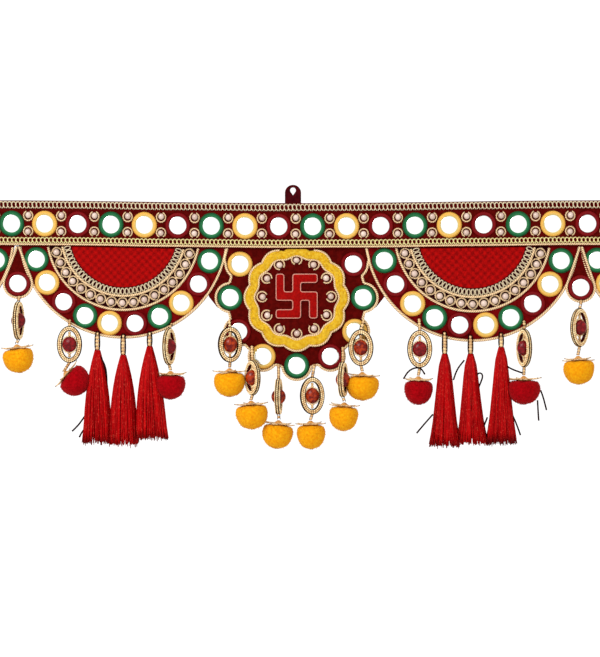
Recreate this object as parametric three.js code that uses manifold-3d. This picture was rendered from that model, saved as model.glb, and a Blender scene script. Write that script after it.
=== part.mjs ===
// A toran, the embroidered and mirrored valance that hangs across the top of a doorway.
// A stiffened heading band carries a lobed centre panel with a round medallion, and half-round scallops on both
// sides of it. Small drops cover the joins. Bead medals with plush balls, and silky tassels, hang from the edges.
// Millimetres, +Z up. The front faces -Y. The origin is the middle of the heading band's top edge.

import * as THREE from 'three';
import { mergeVertices } from 'three/addons/utils/BufferGeometryUtils.js';
import Module from 'manifold-3d';

const wasm = await Module();
wasm.setup();

// Sheets of stiffened cloth in three layers, each sewn behind the one before it.
const GAP = 0.3;
const BAND = { length: 1015.5, height: 44, front: -1.5, back: 1.5, mirrors: 30, mirrorZ: -22.3 };
const PANEL = { front: BAND.back + GAP, back: BAND.back + GAP + 2.5, topZ: -16 };
const PATCH = { front: 0, fanFront: 0.3, back: PANEL.front - GAP, topZ: -BAND.height - 0.4 };

// Sewn mirrors, each a disc inside a wound ring.
const MIRROR = { baseRadius: 12, topRadius: 10.8, height: 2, root: 0.5, sides: 10 };

// Half-round scallops, whose centre lies behind the band, and the fan of brocade on each.
const SCALLOP = { radius: 106.8, centreZ: -30, mirrorRadius: 92, mirrors: 10, mirrorStep: 16.2, arcSteps: 30 };
const SCALLOP_X = { inner: 174.5, outer: 388.5 };
const FAN = { radius: 64, arcSteps: 16 };

// The lobed centre panel, with a mirror in each lobe, and the cloth that joins it to the scallops beside it.
const CENTRE = { z: -96, mirrorRadius: 66.6, mirrors: 9, mirrorStep: 30.4, lobeRadius: 15.3, notchRadius: 70, steps: 96 };
const WEB = { tipX: 88.1, tipZ: -93.5, footX: 79.1, footZ: -104.8, arcSides: 72 };
const MEDALLION = { z: -94.5, notchRadius: 49.5, lobe: 3.9, lobes: 12, lobeSteps: 6 };
const WELL = { radius: 41, front: 0.4, sides: 24 };
const EMBLEM = { halfWidth: 22, barWidth: 8.6, front: 0 };

// Drops over the joins between scallops.
const DROP = { x: 281.5, neck: 2, mirrorZ: -83, radius: 15, steps: 16 };

// Folded ribbon tabs behind the band, each with a teardrop eye for a nail.
const LOOP = { width: 16.2, top: 18.3, bottom: -12, front: PANEL.front, back: PANEL.front + 2, steps: 8 };
const EYE = { z: 12, radius: 3.2, pointZ: 7.6 };
const LOOP_X = { loop_left: -470, loop_centre: -3.7, loop_right: 470 };

// Bead medals: an oval ring with a round bead strung across it, a stitch above it and a thread below it.
const MEDAL = { halfX: 9.7, wall: 2.3, bead: 6.4, string: 1.1, wallSides: 4, ringSides: 10, beadSides: 6 };

// Plush balls with a flat top, each under a pointed cap of gold petals.
const BALL = { height: 24, capRise: 3.4, capRadius: 5.2, capThick: 0.8, tip: 14.4, notch: 9.8, tips: 6 };
const BALL_SIDES = 8;
// The ball's outline: how far out and how far down, as parts of its half width and of its height.
const BALL_OUTLINE = [
  { out: 0, down: 1 }, { out: 0.5, down: 0.94 }, { out: 0.88, down: 0.68 },
  { out: 1, down: 0.38 }, { out: 0.78, down: 0.02 },
];

// Tassels: a gold neck, a bound head and locks that widen towards the cut end.
const TASSEL = { neck: 2.1, head: 4.3, headLength: 14, sides: 6, depth: 0.84, flare: 0.62, steps: 2, y: -2.6 };
const LOCKS = [
  { count: 9, root: 2.2, reach: 10, rootRadius: 0.7, footRadius: 2.2 },
  { count: 3, root: 0.8, reach: 3.4, rootRadius: 0.7, footRadius: 2.2 },
];

// Where the hanging pieces go, from the middle of the panel that carries them. hookX and hookZ place the stitch,
// x, y and z the medal's middle, high is half its height and turn its twist. ballX and ballZ place the top of the
// ball, wide is half its width and lean tips its cap to the left.
const CENTRE_PENDANTS = [
  { hookX: -67.3, hookZ: -118.2, x: -66.5, y: -7, z: -141.5, high: 16.3, turn: 20, ballX: -69, ballZ: -169, wide: 15.6, lean: 0 },
  { hookX: -44.6, hookZ: -144.3, x: -44, y: -11.2, z: -174.5, high: 16, turn: -56, ballX: -46, ballZ: -203, wide: 15.3, lean: 4 },
  { hookX: -18.1, hookZ: -162.5, x: -18.1, y: -3, z: -193.5, high: 16.8, turn: 82, ballX: -19.3, ballZ: -222, wide: 15.4, lean: -6 },
  { hookX: 17.5, hookZ: -162.5, x: 15.5, y: -3, z: -192.6, high: 17.2, turn: 15, ballX: 15, ballZ: -222, wide: 14.6, lean: 2 },
  { hookX: 46, hookZ: -145.4, x: 46, y: -11.2, z: -176.3, high: 16.2, turn: 74, ballX: 47, ballZ: -204, wide: 14.5, lean: -3 },
  { hookX: 66.8, hookZ: -117.6, x: 64.1, y: -4.6, z: -144.7, high: 16.8, turn: -5, ballX: 68.2, ballZ: -174, wide: 15.8, lean: 0 },
];
const DROP_PENDANTS = {
  left: { hookX: 1.4, hookZ: -96.8, x: 3.5, y: -3, z: -118.8, high: 18, turn: 62, ballX: 3.5, ballZ: -147, wide: 15.3, lean: -4 },
  right: { hookX: 0.2, hookZ: -96.8, x: 1, y: -3, z: -125.3, high: 18, turn: 42, ballX: -0.1, ballZ: -157.5, wide: 15.5, lean: 3 },
};
const SCALLOP_PENDANTS = {
  left_inner: [
    { hookX: -52.4, hookZ: -118, x: -52.4, y: -3, z: -142.4, high: 17.2, turn: 0, ballX: -59.6, ballZ: -169.4, wide: 14.6, lean: 50 },
    { hookX: 49.5, hookZ: -121.5, x: 47.1, y: -3, z: -144.7, high: 17.2, turn: 55, ballX: 52, ballZ: -175, wide: 15, lean: 0 },
  ],
  right_inner: [
    { hookX: -52.2, hookZ: -117, x: -51.6, y: -3, z: -147.2, high: 17.6, turn: 0, ballX: -52.6, ballZ: -180, wide: 14.6, lean: 0 },
    { hookX: 52.7, hookZ: -119, x: 52.7, y: -3, z: -146.7, high: 16.8, turn: -48, ballX: 55, ballZ: -178.5, wide: 15.5, lean: 0 },
  ],
  outer: [
    { hookX: -52.4, hookZ: -118, x: -52.2, y: -3, z: -146, high: 17.4, turn: 0, ballX: -52.4, ballZ: -178, wide: 14.8, lean: 0 },
    { hookX: 51, hookZ: -121, x: 50, y: -3, z: -146, high: 17, turn: -50, ballX: 53.4, ballZ: -177, wide: 15, lean: 0 },
  ],
};
// Tassels: the neck's stitch at topZ, the head's top at headZ and the cut end at footZ.
const SCALLOP_TASSELS = {
  left_inner: [
    { x: -24.6, topZ: -128.5, headZ: -145.7, footZ: -239.5 },
    { x: 1.2, topZ: -131, headZ: -150.5, footZ: -241 },
    { x: 27.6, topZ: -128.5, headZ: -142, footZ: -235.5 },
  ],
  right_inner: [
    { x: -26.7, topZ: -128.5, headZ: -149.5, footZ: -242.5 },
    { x: -0.9, topZ: -132, headZ: -149.5, footZ: -240.5 },
    { x: 29.7, topZ: -129.5, headZ: -142.8, footZ: -240.5 },
  ],
  outer: [
    { x: -26.5, topZ: -128.5, headZ: -147.5, footZ: -241 },
    { x: 0, topZ: -131.5, headZ: -150, footZ: -241.5 },
    { x: 27.5, topZ: -129, headZ: -143.5, footZ: -238.5 },
  ],
};

const material = (color, roughness, metalness = 0) => new THREE.MeshStandardMaterial({ color, roughness, metalness });
const VELVET = material(0x540704, 0.9);
const RIBBON = material(0x4a0a10, 0.7);
const BROCADE = material(0xaf0e0e, 0.6);
const PLUSH_YELLOW = material(0xf3b020, 0.95);
const PLUSH_RED = material(0xa60212, 0.95);
const GOLD = material(0xd8ac70, 0.35, 0.8);
const SILK_RED = material(0xa8080e, 0.45);

const TINY = 1e-4;
const FULL_TURN = 2 * Math.PI;
const radians = THREE.MathUtils.degToRad;

// A closed three.js geometry as a solid that can be joined and cut.
function solid(geometry) {
  const bare = new THREE.BufferGeometry().setAttribute('position', geometry.getAttribute('position'));
  if (geometry.index) bare.setIndex(geometry.index);
  const merged = mergeVertices(bare, TINY);
  const vertProperties = merged.getAttribute('position').array;
  const triVerts = new Uint32Array(merged.index.array);
  return new wasm.Manifold(new wasm.Mesh({ numProp: 3, vertProperties, triVerts }));
}

function mesh(name, body, surface) {
  const { vertProperties, triVerts } = body.getMesh();
  const geometry = new THREE.BufferGeometry();
  geometry.setAttribute('position', new THREE.BufferAttribute(vertProperties, 3));
  geometry.setIndex(new THREE.BufferAttribute(triVerts, 1));
  const made = new THREE.Mesh(geometry, surface);
  made.name = name;
  return made;
}

const joined = (first, ...others) => others.reduce((sum, next) => sum.add(next), first);

// A sheet whose outline is drawn in X and Z, from y = front to y = back.
function sheet(outline, front, back, curveSegments) {
  const settings = { depth: back - front, bevelEnabled: false, curveSegments };
  return solid(new THREE.ExtrudeGeometry(outline, settings).rotateX(Math.PI / 2).translate(0, back, 0));
}

// A rectangular block between two corners.
function block(low, high) {
  const box = new THREE.BoxGeometry(high.x - low.x, high.y - low.y, high.z - low.z);
  return solid(box.translate((low.x + high.x) / 2, (low.y + high.y) / 2, (low.z + high.z) / 2));
}

// A round bar across the sheets, centred at (x, z).
function bar(x, z, front, back, radius, sides) {
  const round = new THREE.CylinderGeometry(radius, radius, back - front, sides);
  return solid(round.translate(x, (front + back) / 2, z));
}

// A thread of beads between two points.
function thread(from, to) {
  const along = new THREE.Vector3().subVectors(to, from);
  const turn = new THREE.Quaternion().setFromUnitVectors(new THREE.Vector3(0, 1, 0), along.clone().normalize());
  const middle = new THREE.Vector3().addVectors(from, to).multiplyScalar(0.5);
  const round = new THREE.CylinderGeometry(MEDAL.string, MEDAL.string, along.length(), MEDAL.wallSides);
  return solid(round.applyQuaternion(turn).translate(middle.x, middle.y, middle.z));
}

// A profile of [radius, height] pairs turned about the Z axis.
function turned(profile, sides) {
  const points = profile.map(([radius, height]) => new THREE.Vector2(radius, height));
  return solid(new THREE.LatheGeometry(points, sides).rotateX(Math.PI / 2));
}

// The raised disc of a sewn mirror, rooted in the sheet whose front is at y = face.
function mirrorDisc(x, z, face) {
  const { baseRadius, topRadius, height, root, sides } = MIRROR;
  const disc = new THREE.CylinderGeometry(baseRadius, topRadius, height + root, sides);
  return solid(disc.translate(x, face + (root - height) / 2, z));
}

// Places on an arc below a centre, the step given in degrees.
function placesBelow(count, step, radius, centreZ) {
  return Array.from({ length: count }, (_, index) => {
    const angle = radians((index - (count - 1) / 2) * step);
    return { x: radius * Math.sin(angle), z: centreZ - radius * Math.cos(angle) };
  });
}

function band() {
  const { length, height, front, back, mirrors, mirrorZ } = BAND;
  const pitch = length / mirrors;
  const cloth = block({ x: -length / 2, y: front, z: -height }, { x: length / 2, y: back, z: 0 });
  const discs = Array.from({ length: mirrors }, (_, index) =>
    mirrorDisc((index + 0.5) * pitch - length / 2, mirrorZ, front));
  return joined(cloth, ...discs);
}

// The part of a disc that lies below z = top.
function discBelow(radius, centreZ, top) {
  const dip = Math.asin((centreZ - top) / radius);
  return new THREE.Shape().absarc(0, centreZ, radius, Math.PI + dip, FULL_TURN - dip, false);
}

function scallop() {
  const { radius, centreZ, mirrorRadius, mirrors, mirrorStep, arcSteps } = SCALLOP;
  const cloth = sheet(discBelow(radius, centreZ, PANEL.topZ), PANEL.front, PANEL.back, arcSteps);
  const discs = placesBelow(mirrors, mirrorStep, mirrorRadius, centreZ)
    .map(({ x, z }) => mirrorDisc(x, z, PANEL.front));
  return joined(cloth, ...discs);
}

const fan = () => sheet(discBelow(FAN.radius, SCALLOP.centreZ, PATCH.topZ), PATCH.fanFront, PATCH.back, FAN.arcSteps);

// A closed outline about (0, z) whose radius follows the angle from straight down.
function polarShape(z, steps, radiusAt) {
  const points = Array.from({ length: steps }, (_, index) => {
    const angle = (index / steps) * FULL_TURN;
    const radius = radiusAt(angle);
    return new THREE.Vector2(radius * Math.sin(angle), z - radius * Math.cos(angle));
  });
  return new THREE.Shape(points);
}

// The centre panel's outline: round lobes that stand out of a smaller disc.
function lobedRadius(angle) {
  const { mirrorRadius, mirrorStep, lobeRadius, notchRadius } = CENTRE;
  const step = radians(mirrorStep);
  const away = angle > Math.PI ? angle - FULL_TURN : angle;
  const off = away - Math.round(away / step) * step;
  const reach = lobeRadius ** 2 - (mirrorRadius * Math.sin(off)) ** 2;
  return reach > 0 ? Math.max(notchRadius, mirrorRadius * Math.cos(off) + Math.sqrt(reach)) : notchRadius;
}

function centrePanel() {
  const { z, mirrorRadius, mirrors, mirrorStep, steps } = CENTRE;
  const { front, back, topZ } = PANEL;
  const lobed = sheet(polarShape(z, steps, lobedRadius), front, back);
  const corners = [
    [-WEB.tipX, topZ], [-WEB.tipX, WEB.tipZ], [-WEB.footX, WEB.footZ],
    [WEB.footX, WEB.footZ], [WEB.tipX, WEB.tipZ], [WEB.tipX, topZ],
  ];
  const web = sheet(new THREE.Shape(corners.map(([x, at]) => new THREE.Vector2(x, at))), front, back);
  const above = block({ x: -WEB.tipX, y: PATCH.front, z: topZ }, { x: WEB.tipX, y: back + GAP, z: BAND.height });
  const besides = [-1, 1].map((side) =>
    bar(side * SCALLOP_X.inner, SCALLOP.centreZ, PATCH.front, back + GAP, SCALLOP.radius + GAP, WEB.arcSides));
  const cloth = [above, ...besides].reduce((rest, cut) => rest.subtract(cut), joined(lobed, web));
  const discs = placesBelow(mirrors, mirrorStep, mirrorRadius, z).map((at) => mirrorDisc(at.x, at.z, front));
  return joined(cloth, ...discs);
}

// The ornament of good fortune: a plus sign whose four arms turn to the right.
function emblem() {
  const { halfWidth, barWidth, front } = EMBLEM;
  const back = WELL.front + GAP;
  const upright = block({ x: -barWidth / 2, y: front, z: 0 }, { x: barWidth / 2, y: back, z: halfWidth });
  const bend = block({ x: 0, y: front, z: halfWidth - barWidth }, { x: halfWidth, y: back, z: halfWidth });
  const arm = joined(upright, bend);
  return joined(...[0, 1, 2, 3].map((quarter) => arm.rotate([0, quarter * 90, 0]))).translate([0, 0, MEDALLION.z]);
}

function medallion() {
  const { z, notchRadius, lobe, lobes, lobeSteps } = MEDALLION;
  const wave = (angle) => notchRadius + lobe * Math.abs(Math.cos((lobes / 2) * angle));
  const ring = sheet(polarShape(z, lobes * lobeSteps, wave), PATCH.front, PATCH.back);
  const well = bar(0, z, PATCH.front - GAP, WELL.front, WELL.radius, WELL.sides);
  const above = block({ x: -WEB.tipX, y: PATCH.front - GAP, z: PATCH.topZ }, { x: WEB.tipX, y: PANEL.front, z: 0 });
  return joined(ring.subtract(well), emblem()).subtract(above);
}

// A drop: straight sides from a narrow neck, tangent to the round foot that holds a mirror.
function drop() {
  const { neck, mirrorZ, radius, steps } = DROP;
  const rise = PATCH.topZ - mirrorZ;
  const tangent = Math.atan2(rise, neck) - Math.acos(radius / Math.hypot(rise, neck));
  const outline = new THREE.Shape();
  outline.moveTo(neck, PATCH.topZ);
  outline.lineTo(-neck, PATCH.topZ);
  outline.absarc(0, mirrorZ, radius, Math.PI - tangent, FULL_TURN + tangent, false);
  return joined(sheet(outline, PATCH.front, PATCH.back, steps), mirrorDisc(0, mirrorZ, PATCH.front));
}

function loop() {
  const { width, top, bottom, front, back, steps } = LOOP;
  const half = width / 2;
  const tab = new THREE.Shape();
  tab.moveTo(-half, bottom);
  tab.lineTo(half, bottom);
  tab.absarc(0, top - half, half, 0, Math.PI, false);
  const side = Math.asin(EYE.radius / (EYE.z - EYE.pointZ));
  const eye = new THREE.Path();
  eye.moveTo(0, EYE.pointZ);
  eye.absarc(0, EYE.z, EYE.radius, Math.PI + side, -side, true);
  tab.holes.push(eye);
  return sheet(tab, front, back, steps);
}

// A stitch that comes forward from the cloth whose front is at y = cloth, then hangs down to a point.
function stitch(hookX, hookZ, cloth, to) {
  const seat = new THREE.Vector3(hookX, cloth - GAP, hookZ);
  const bend = new THREE.Vector3(hookX, to.y, hookZ);
  const past = new THREE.Vector3(hookX, to.y - MEDAL.string, hookZ);
  return joined(thread(seat, past), thread(bend, to));
}

function medal({ x, y, z, hookX, hookZ, cloth, high, turn, ballX, ballZ, lean }) {
  const { halfX, wall, bead, wallSides, ringSides, beadSides } = MEDAL;
  const halfZ = high - wall;
  const ring = new THREE.TorusGeometry(halfX, wall, wallSides, ringSides).scale(1, halfZ / halfX, 1);
  const middle = new THREE.SphereGeometry(bead, beadSides, beadSides - 2);
  const twisted = [ring, middle].map((piece) =>
    solid(piece.rotateX(Math.PI / 2).rotateZ(radians(turn)).translate(x, y, z)));
  const top = new THREE.Vector3(x, y, z + halfZ);
  const foot = new THREE.Vector3(x, y, z - halfZ);
  const tilt = radians(lean);
  const rise = GAP + MEDAL.string * Math.abs(Math.sin(2 * tilt));
  const below = thread(foot, new THREE.Vector3(ballX - rise * Math.sin(tilt), y, ballZ + rise * Math.cos(tilt)));
  return joined(...twisted, thread(top, foot), stitch(hookX, hookZ, cloth, top), below);
}

// A plush ball and its cap. Its own origin is the top of the cap.
function ball({ y, ballX, ballZ, wide, lean }) {
  const { height, capRise, capRadius, capThick, tip, notch, tips } = BALL;
  const dome = BALL_OUTLINE.map(({ out, down }) => [out * wide, -capRise - down * height]);
  const body = turned([...dome, [capRadius, -capRise + capThick], [MEDAL.string, 0], [0, 0]], BALL_SIDES);
  const star = new THREE.Shape(Array.from({ length: 2 * tips }, (_, index) => {
    const reach = index % 2 ? notch : tip;
    const angle = ((index + 0.5) / tips) * Math.PI;
    return new THREE.Vector2(reach * Math.cos(angle), reach * Math.sin(angle));
  }));
  const settings = { depth: capThick, bevelEnabled: false };
  const cap = solid(new THREE.ExtrudeGeometry(star, settings).translate(0, 0, -capRise - GAP));
  return joined(body, cap).rotate([0, -lean, 0]).translate([ballX, y, ballZ]);
}

// One lock of a tassel, three-sided, spreading from inside the head to the cut end.
function lock(angle, length, { root, reach, rootRadius, footRadius }) {
  const { steps, flare, depth, headLength } = TASSEL;
  const top = -headLength / 2;
  const strand = new THREE.CylinderGeometry(rootRadius, footRadius, length + top, 3, steps).rotateX(Math.PI / 2);
  strand.rotateZ(angle).translate(0, 0, (top - length) / 2);
  const places = strand.getAttribute('position');
  for (let index = 0; index < places.count; index += 1) {
    const fall = THREE.MathUtils.clamp((places.getZ(index) - top) / (-length - top), 0, 1);
    const out = root + (reach - root) * fall ** flare;
    places.setX(index, places.getX(index) + out * Math.cos(angle));
    places.setY(index, (places.getY(index) + out * Math.sin(angle)) * depth);
  }
  return solid(strand);
}

// A gold neck, a bound head and its locks. Its own origin is the top of the head.
function tassel({ x, topZ, headZ, footZ }) {
  const { neck, head, headLength, sides, y } = TASSEL;
  const bound = turned([[0, -headLength], [head, -headLength], [neck, 0], [0, 0]], sides);
  const locks = LOCKS.flatMap((row) => Array.from({ length: row.count }, (_, index) =>
    lock(((index + 0.5) / row.count) * FULL_TURN, headZ - footZ, row)));
  const skirt = joined(bound, ...locks).translate([x, y, headZ]);
  const seat = new THREE.Vector3(x, PANEL.front - GAP - MEDAL.string, topZ);
  return joined(skirt, thread(seat, new THREE.Vector3(x, y, headZ - neck)));
}

const toran = new THREE.Group();
const put = (name, body, surface) => toran.add(mesh(name, body, surface));
let medals = 0;
let tassels = 0;

function hang(pendant, surface, fromX = 0, cloth = PANEL.front) {
  medals += 1;
  const number = String(medals).padStart(2, '0');
  const { x, hookX, ballX } = pendant;
  const place = { ...pendant, cloth, x: x + fromX, hookX: hookX + fromX, ballX: ballX + fromX };
  put(`medal_${number}`, medal(place), GOLD);
  put(`pompom_${number}`, ball(place), surface);
}

put('band', band(), VELVET);
for (const [name, x] of Object.entries(LOOP_X)) put(name, loop().translate([x, 0, 0]), RIBBON);
put('centre_panel', centrePanel(), VELVET);
put('medallion', medallion(), PLUSH_YELLOW);

for (const pendant of CENTRE_PENDANTS) hang(pendant, PLUSH_YELLOW);
for (const [side, x] of [['left', -DROP.x], ['right', DROP.x]]) {
  put(`drop_${side}`, drop().translate([x, 0, 0]), VELVET);
  hang(DROP_PENDANTS[side], PLUSH_YELLOW, x, PATCH.front);
}

// Each scallop, with the set of hanging pieces that it carries.
const SCALLOPS = [
  { name: 'left_outer', x: -SCALLOP_X.outer, set: 'outer' },
  { name: 'left_inner', x: -SCALLOP_X.inner, set: 'left_inner' },
  { name: 'right_inner', x: SCALLOP_X.inner, set: 'right_inner' },
  { name: 'right_outer', x: SCALLOP_X.outer, set: 'outer' },
];
for (const { name, x, set } of SCALLOPS) {
  put(`scallop_${name}`, scallop().translate([x, 0, 0]), VELVET);
  put(`fan_${name}`, fan().translate([x, 0, 0]), BROCADE);
  for (const pendant of SCALLOP_PENDANTS[set]) hang(pendant, PLUSH_RED, x);
  for (const one of SCALLOP_TASSELS[set]) {
    tassels += 1;
    put(`tassel_${String(tassels).padStart(2, '0')}`, tassel({ ...one, x: one.x + x }), SILK_RED);
  }
}

export default toran;
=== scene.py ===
import math
from collections import namedtuple
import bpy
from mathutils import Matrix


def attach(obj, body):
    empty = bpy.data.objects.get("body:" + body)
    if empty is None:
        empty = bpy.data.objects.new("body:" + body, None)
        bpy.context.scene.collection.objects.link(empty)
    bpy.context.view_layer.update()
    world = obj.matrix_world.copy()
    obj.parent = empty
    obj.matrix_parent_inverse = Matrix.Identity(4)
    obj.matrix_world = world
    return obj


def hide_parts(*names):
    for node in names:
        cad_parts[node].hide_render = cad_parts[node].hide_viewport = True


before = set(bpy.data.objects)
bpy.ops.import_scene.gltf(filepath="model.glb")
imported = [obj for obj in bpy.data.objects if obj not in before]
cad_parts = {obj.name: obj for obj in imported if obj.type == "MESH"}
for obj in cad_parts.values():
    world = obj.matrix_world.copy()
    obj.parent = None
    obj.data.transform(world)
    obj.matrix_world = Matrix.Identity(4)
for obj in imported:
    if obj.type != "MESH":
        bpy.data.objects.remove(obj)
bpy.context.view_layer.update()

from types import SimpleNamespace as Sizes

import bpy
import numpy as np
from mathutils import Vector
from mathutils.geometry import tessellate_polygon

# The looks of a toran, the mirrored valance over a doorway. Shapes are in millimetres until they become
# meshes.
MM = 0.001
TURN = 2 * math.pi
rng = np.random.default_rng(11)

GAP = 0.3
BAND = Sizes(half=507.75, height=44.0, front=-1.5, back=1.5, mirrors=30, mirror_z=-22.3,
             pearl_z=(-14.5, -29.4), top_braid_z=-4.2, top_braid=7.2, low_braid_z=-38.3, low_braid=6.4,
             cord_z=-42.4, cord=0.95, end_cord=0.9, soft_in=0.35, soft_down=0.6)
# The cloths below the band, front to back: scallops and centre panel, and the patches sewn on them.
PANEL = Sizes(front=1.8, back=4.3, top=-16.0)
PATCH = Sizes(front=0.0, back=1.5, top=-44.4)
# Sewn mirrors: the glass, its tilt and its ring's height. Then each colour's ring radius and half width.
MIRROR = Sizes(glass=9.1, tilt=0.006, ring_rise=1.56, ring_lift=0.7)
RINGS = dict(green=(10.4, 2.15), yellow=(10.2, 2.4), red=(10.4, 2.1))
COLOURS = ("green", "yellow", "red")
SCALLOP = Sizes(radius=106.8, z=-30.0, mirrors=10, mirror_r=92.0, step=16.2, rim=105.4, middle=77.5,
                cord=1.25)
SCALLOP_X = dict(left_outer=-388.5, left_inner=-174.5, right_inner=174.5, right_outer=388.5)
PEARLS = Sizes(radius=70.0, count=17, step=9.2, wave=5.4, wave_cord=0.5)
FAN = Sizes(radius=64.0, braid_r=58.8, braid=7.6, front=0.3, cord=1.2)
CENTRE = Sizes(z=-96.0, mirrors=9, mirror_r=66.6, step=30.4, lobe=15.3, notch=70.0, piping_lobe=14.3,
               piping_notch=69.0, piping_bow=116, piping_ends=((69.3, -44.0), (72.4, -56.0)), piping=1.25)
WEB = Sizes(tip_x=88.1, tip_z=-93.5, foot_x=79.1, foot_z=-104.8)
MEDALLION = Sizes(z=-94.5, notch=49.5, lobe=3.9, lobes=12, squeeze=0.026, well=41.0, wave=1.3, plush=1.9,
                  edge=0.4, pile=4400, pearl_x=34.6, pearl_r=37.2, pearl_z=-93.7, rim_cord=1.15, lip_cord=1.0)
EMBLEM = Sizes(half=4.0, end=21.4, z=-93.1, corner=2.3, size=np.array([0.957, 1.0, 1.023]), cord=0.6)
DROP = Sizes(x=281.5, neck=2.0, z=-83.0, radius=15.0, rim=14.1, cord=1.2)
LOOP = Sizes(half=8.1, top=18.3, bottom=-12.0, front=1.8, back=3.8, eye_z=12.8, eye_r=2.8, point_z=7.9)
LOOP_X = dict(loop_left=-470.0, loop_centre=-3.7, loop_right=470.0)
MEDAL = Sizes(half=12.0, wall=2.3, padding=1.35, bead_x=7.3, bead_y=0.6 * 7.3, bead_z=7.8, seed_step=1.95,
              link_step=2.6, thread=0.45, link_thread=0.36)
BALL = Sizes(height=24.0, rise=4.4, around=44, pile=1050, swing=0.8, cone=7.6, tips=7, petal=5.2)
TASSEL = Sizes(y=-2.6, depth=0.84, neck=2.4, strands=210, bead=1.9, neck_cord=0.8)

# How the worn cloth departs from its plan: shifts along x and z, size, degrees turned clockwise, and what the
# radius gains at its edge.
AS_PLANNED = Sizes(x=0.0, z=0.0, size=1.0, turned=0.0, edge=0.0)
FIT = dict(left_inner=Sizes(x=1.0, z=-0.5, size=0.985, turned=0.6, edge=0.0),
           right_inner=Sizes(x=1.6, z=-0.4, size=1.005, turned=0.0, edge=1.2))
DROP_SHIFT = dict(left=(2.8, 2.4), right=(2.5, -1.6))
SAG = Sizes(depth=1.4, reach=310.0, top_rise=1.3, fades_z=-60.0)
DRIFT = Sizes(middle=-1.0, sides=4.2, reach=297.0)

# Hanging medals with their balls: the stitch, the medal's middle, its half height and turn, and then the top of
# the ball's cap, its half width and lean. Turns are in degrees, and x is taken from the cloth's middle.
Pendant = namedtuple("Pendant", "hook_x hook_z x y z high turn ball_x ball_z wide lean")
CENTRE_PENDANTS = [
    (-67.3, -118.2, -66.5, -7.0, -141.5, 17.3, 20, -66.9, -165.2, 15.6, 0),
    (-44.6, -144.3, -44.0, -11.2, -174.5, 17.0, -56, -45.5, -197.5, 16.0, 4),
    (-18.1, -162.5, -18.1, -3.0, -193.5, 17.8, 82, -17.9, -217.2, 15.4, -6),
    (17.5, -162.5, 15.5, -3.0, -192.6, 18.2, 15, 13.7, -217.6, 14.3, 2),
    (46.0, -145.4, 46.0, -11.2, -176.3, 17.2, 74, 47.5, -199.2, 14.5, -3),
    (66.8, -117.6, 64.1, -4.6, -144.7, 17.8, -5, 65.5, -169.0, 16.3, 0),
]
DROP_PENDANTS = dict(
    left=(4.2, -94.4, 3.5, -3.0, -117.6, 18.8, 77, 1.7, -141.5, 15.3, 8),
    right=(2.7, -98.4, 1.0, -3.0, -124.5, 18.8, 42, -0.6, -153.0, 15.5, 3),
)
OUTER_PENDANTS = [
    (-52.4, -118.0, -52.2, -3.0, -146.0, 18.4, 0, -52.4, -173.6, 14.8, 0),
    (51.0, -121.0, 50.0, -3.0, -146.0, 18.0, -50, 53.4, -172.6, 15.0, 0),
]
SCALLOP_PENDANTS = dict(
    left_outer=OUTER_PENDANTS,
    left_inner=[
        (-52.4, -118.0, -52.4, -3.0, -141.4, 18.0, 0, -57.6, -169.1, 15.6, 50),
        (49.5, -121.5, 47.1, -3.0, -143.5, 18.0, 67, 48.5, -168.0, 15.0, 0),
    ],
    right_inner=[
        (-52.2, -117.0, -51.6, -3.0, -146.0, 18.4, 0, -53.0, -173.3, 14.2, 0),
        (52.7, -119.0, 52.7, -3.0, -145.0, 18.6, -63, 52.3, -173.0, 16.3, 0),
    ],
    right_outer=OUTER_PENDANTS,
)
# Tassels: x, the stitch at the top, the head's top and the cut end. Where they differ, the foot's shift and
# fullness follow.
OUTER_TASSELS = [
    (-26.5, -128.5, -147.5, -241.0),
    (0.0, -131.5, -150.0, -241.5),
    (27.5, -129.0, -143.5, -238.5),
]
SCALLOP_TASSELS = dict(
    left_outer=OUTER_TASSELS,
    left_inner=[
        (-24.6, -128.5, -145.7, -239.5),
        (1.2, -131.0, -150.5, -241.0),
        (27.6, -128.5, -142.0, -235.5, 2.2, 1.13),
    ],
    right_inner=[
        (-26.7, -128.5, -149.5, -242.5),
        (-0.9, -132.0, -149.5, -240.5, 1.5, 1.0),
        (29.7, -129.5, -142.8, -240.5),
    ],
    right_outer=OUTER_TASSELS,
)
# How tightly the tassels of each scallop hang together.
TIGHT = dict(left_outer=0.5, left_inner=0.0, right_inner=1.0, right_outer=0.5)


# Shapes. Each is (points, faces, marks): a face of three corners ends in -1, and marks holds four numbers for
# each point, which the materials read: a place along and around a thread, or on a cloth, and a tone.

def stacked(*values):
    """Points or marks from their separate values, each an array or one number for all."""
    return np.stack(np.broadcast_arrays(*values), -1)


def polar(radius, angle, x0=0.0, z0=0.0):
    """x and z in a direction given as the angle from straight down, positive to the right."""
    return x0 + radius * np.sin(angle), z0 - radius * np.cos(angle)


def length(vectors):
    return np.linalg.norm(vectors, axis=-1, keepdims=True)


def outward(points, faces):
    """Turns the faces so that the shape's volume is positive."""
    corners = (points - points.mean(0))[faces]
    volume = np.einsum("ij,ij->i", corners[:, 0], np.cross(corners[:, 1], corners[:, 2])).sum()
    quads = corners[faces[:, 3] >= 0]
    volume += np.einsum("ij,ij->i", quads[:, 0], np.cross(quads[:, 2], quads[:, 3])).sum()
    if volume >= 0:
        return faces
    return np.where(faces[:, 3:] >= 0, faces[:, [0, 3, 2, 1]], faces[:, [0, 2, 1, 3]])


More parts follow.
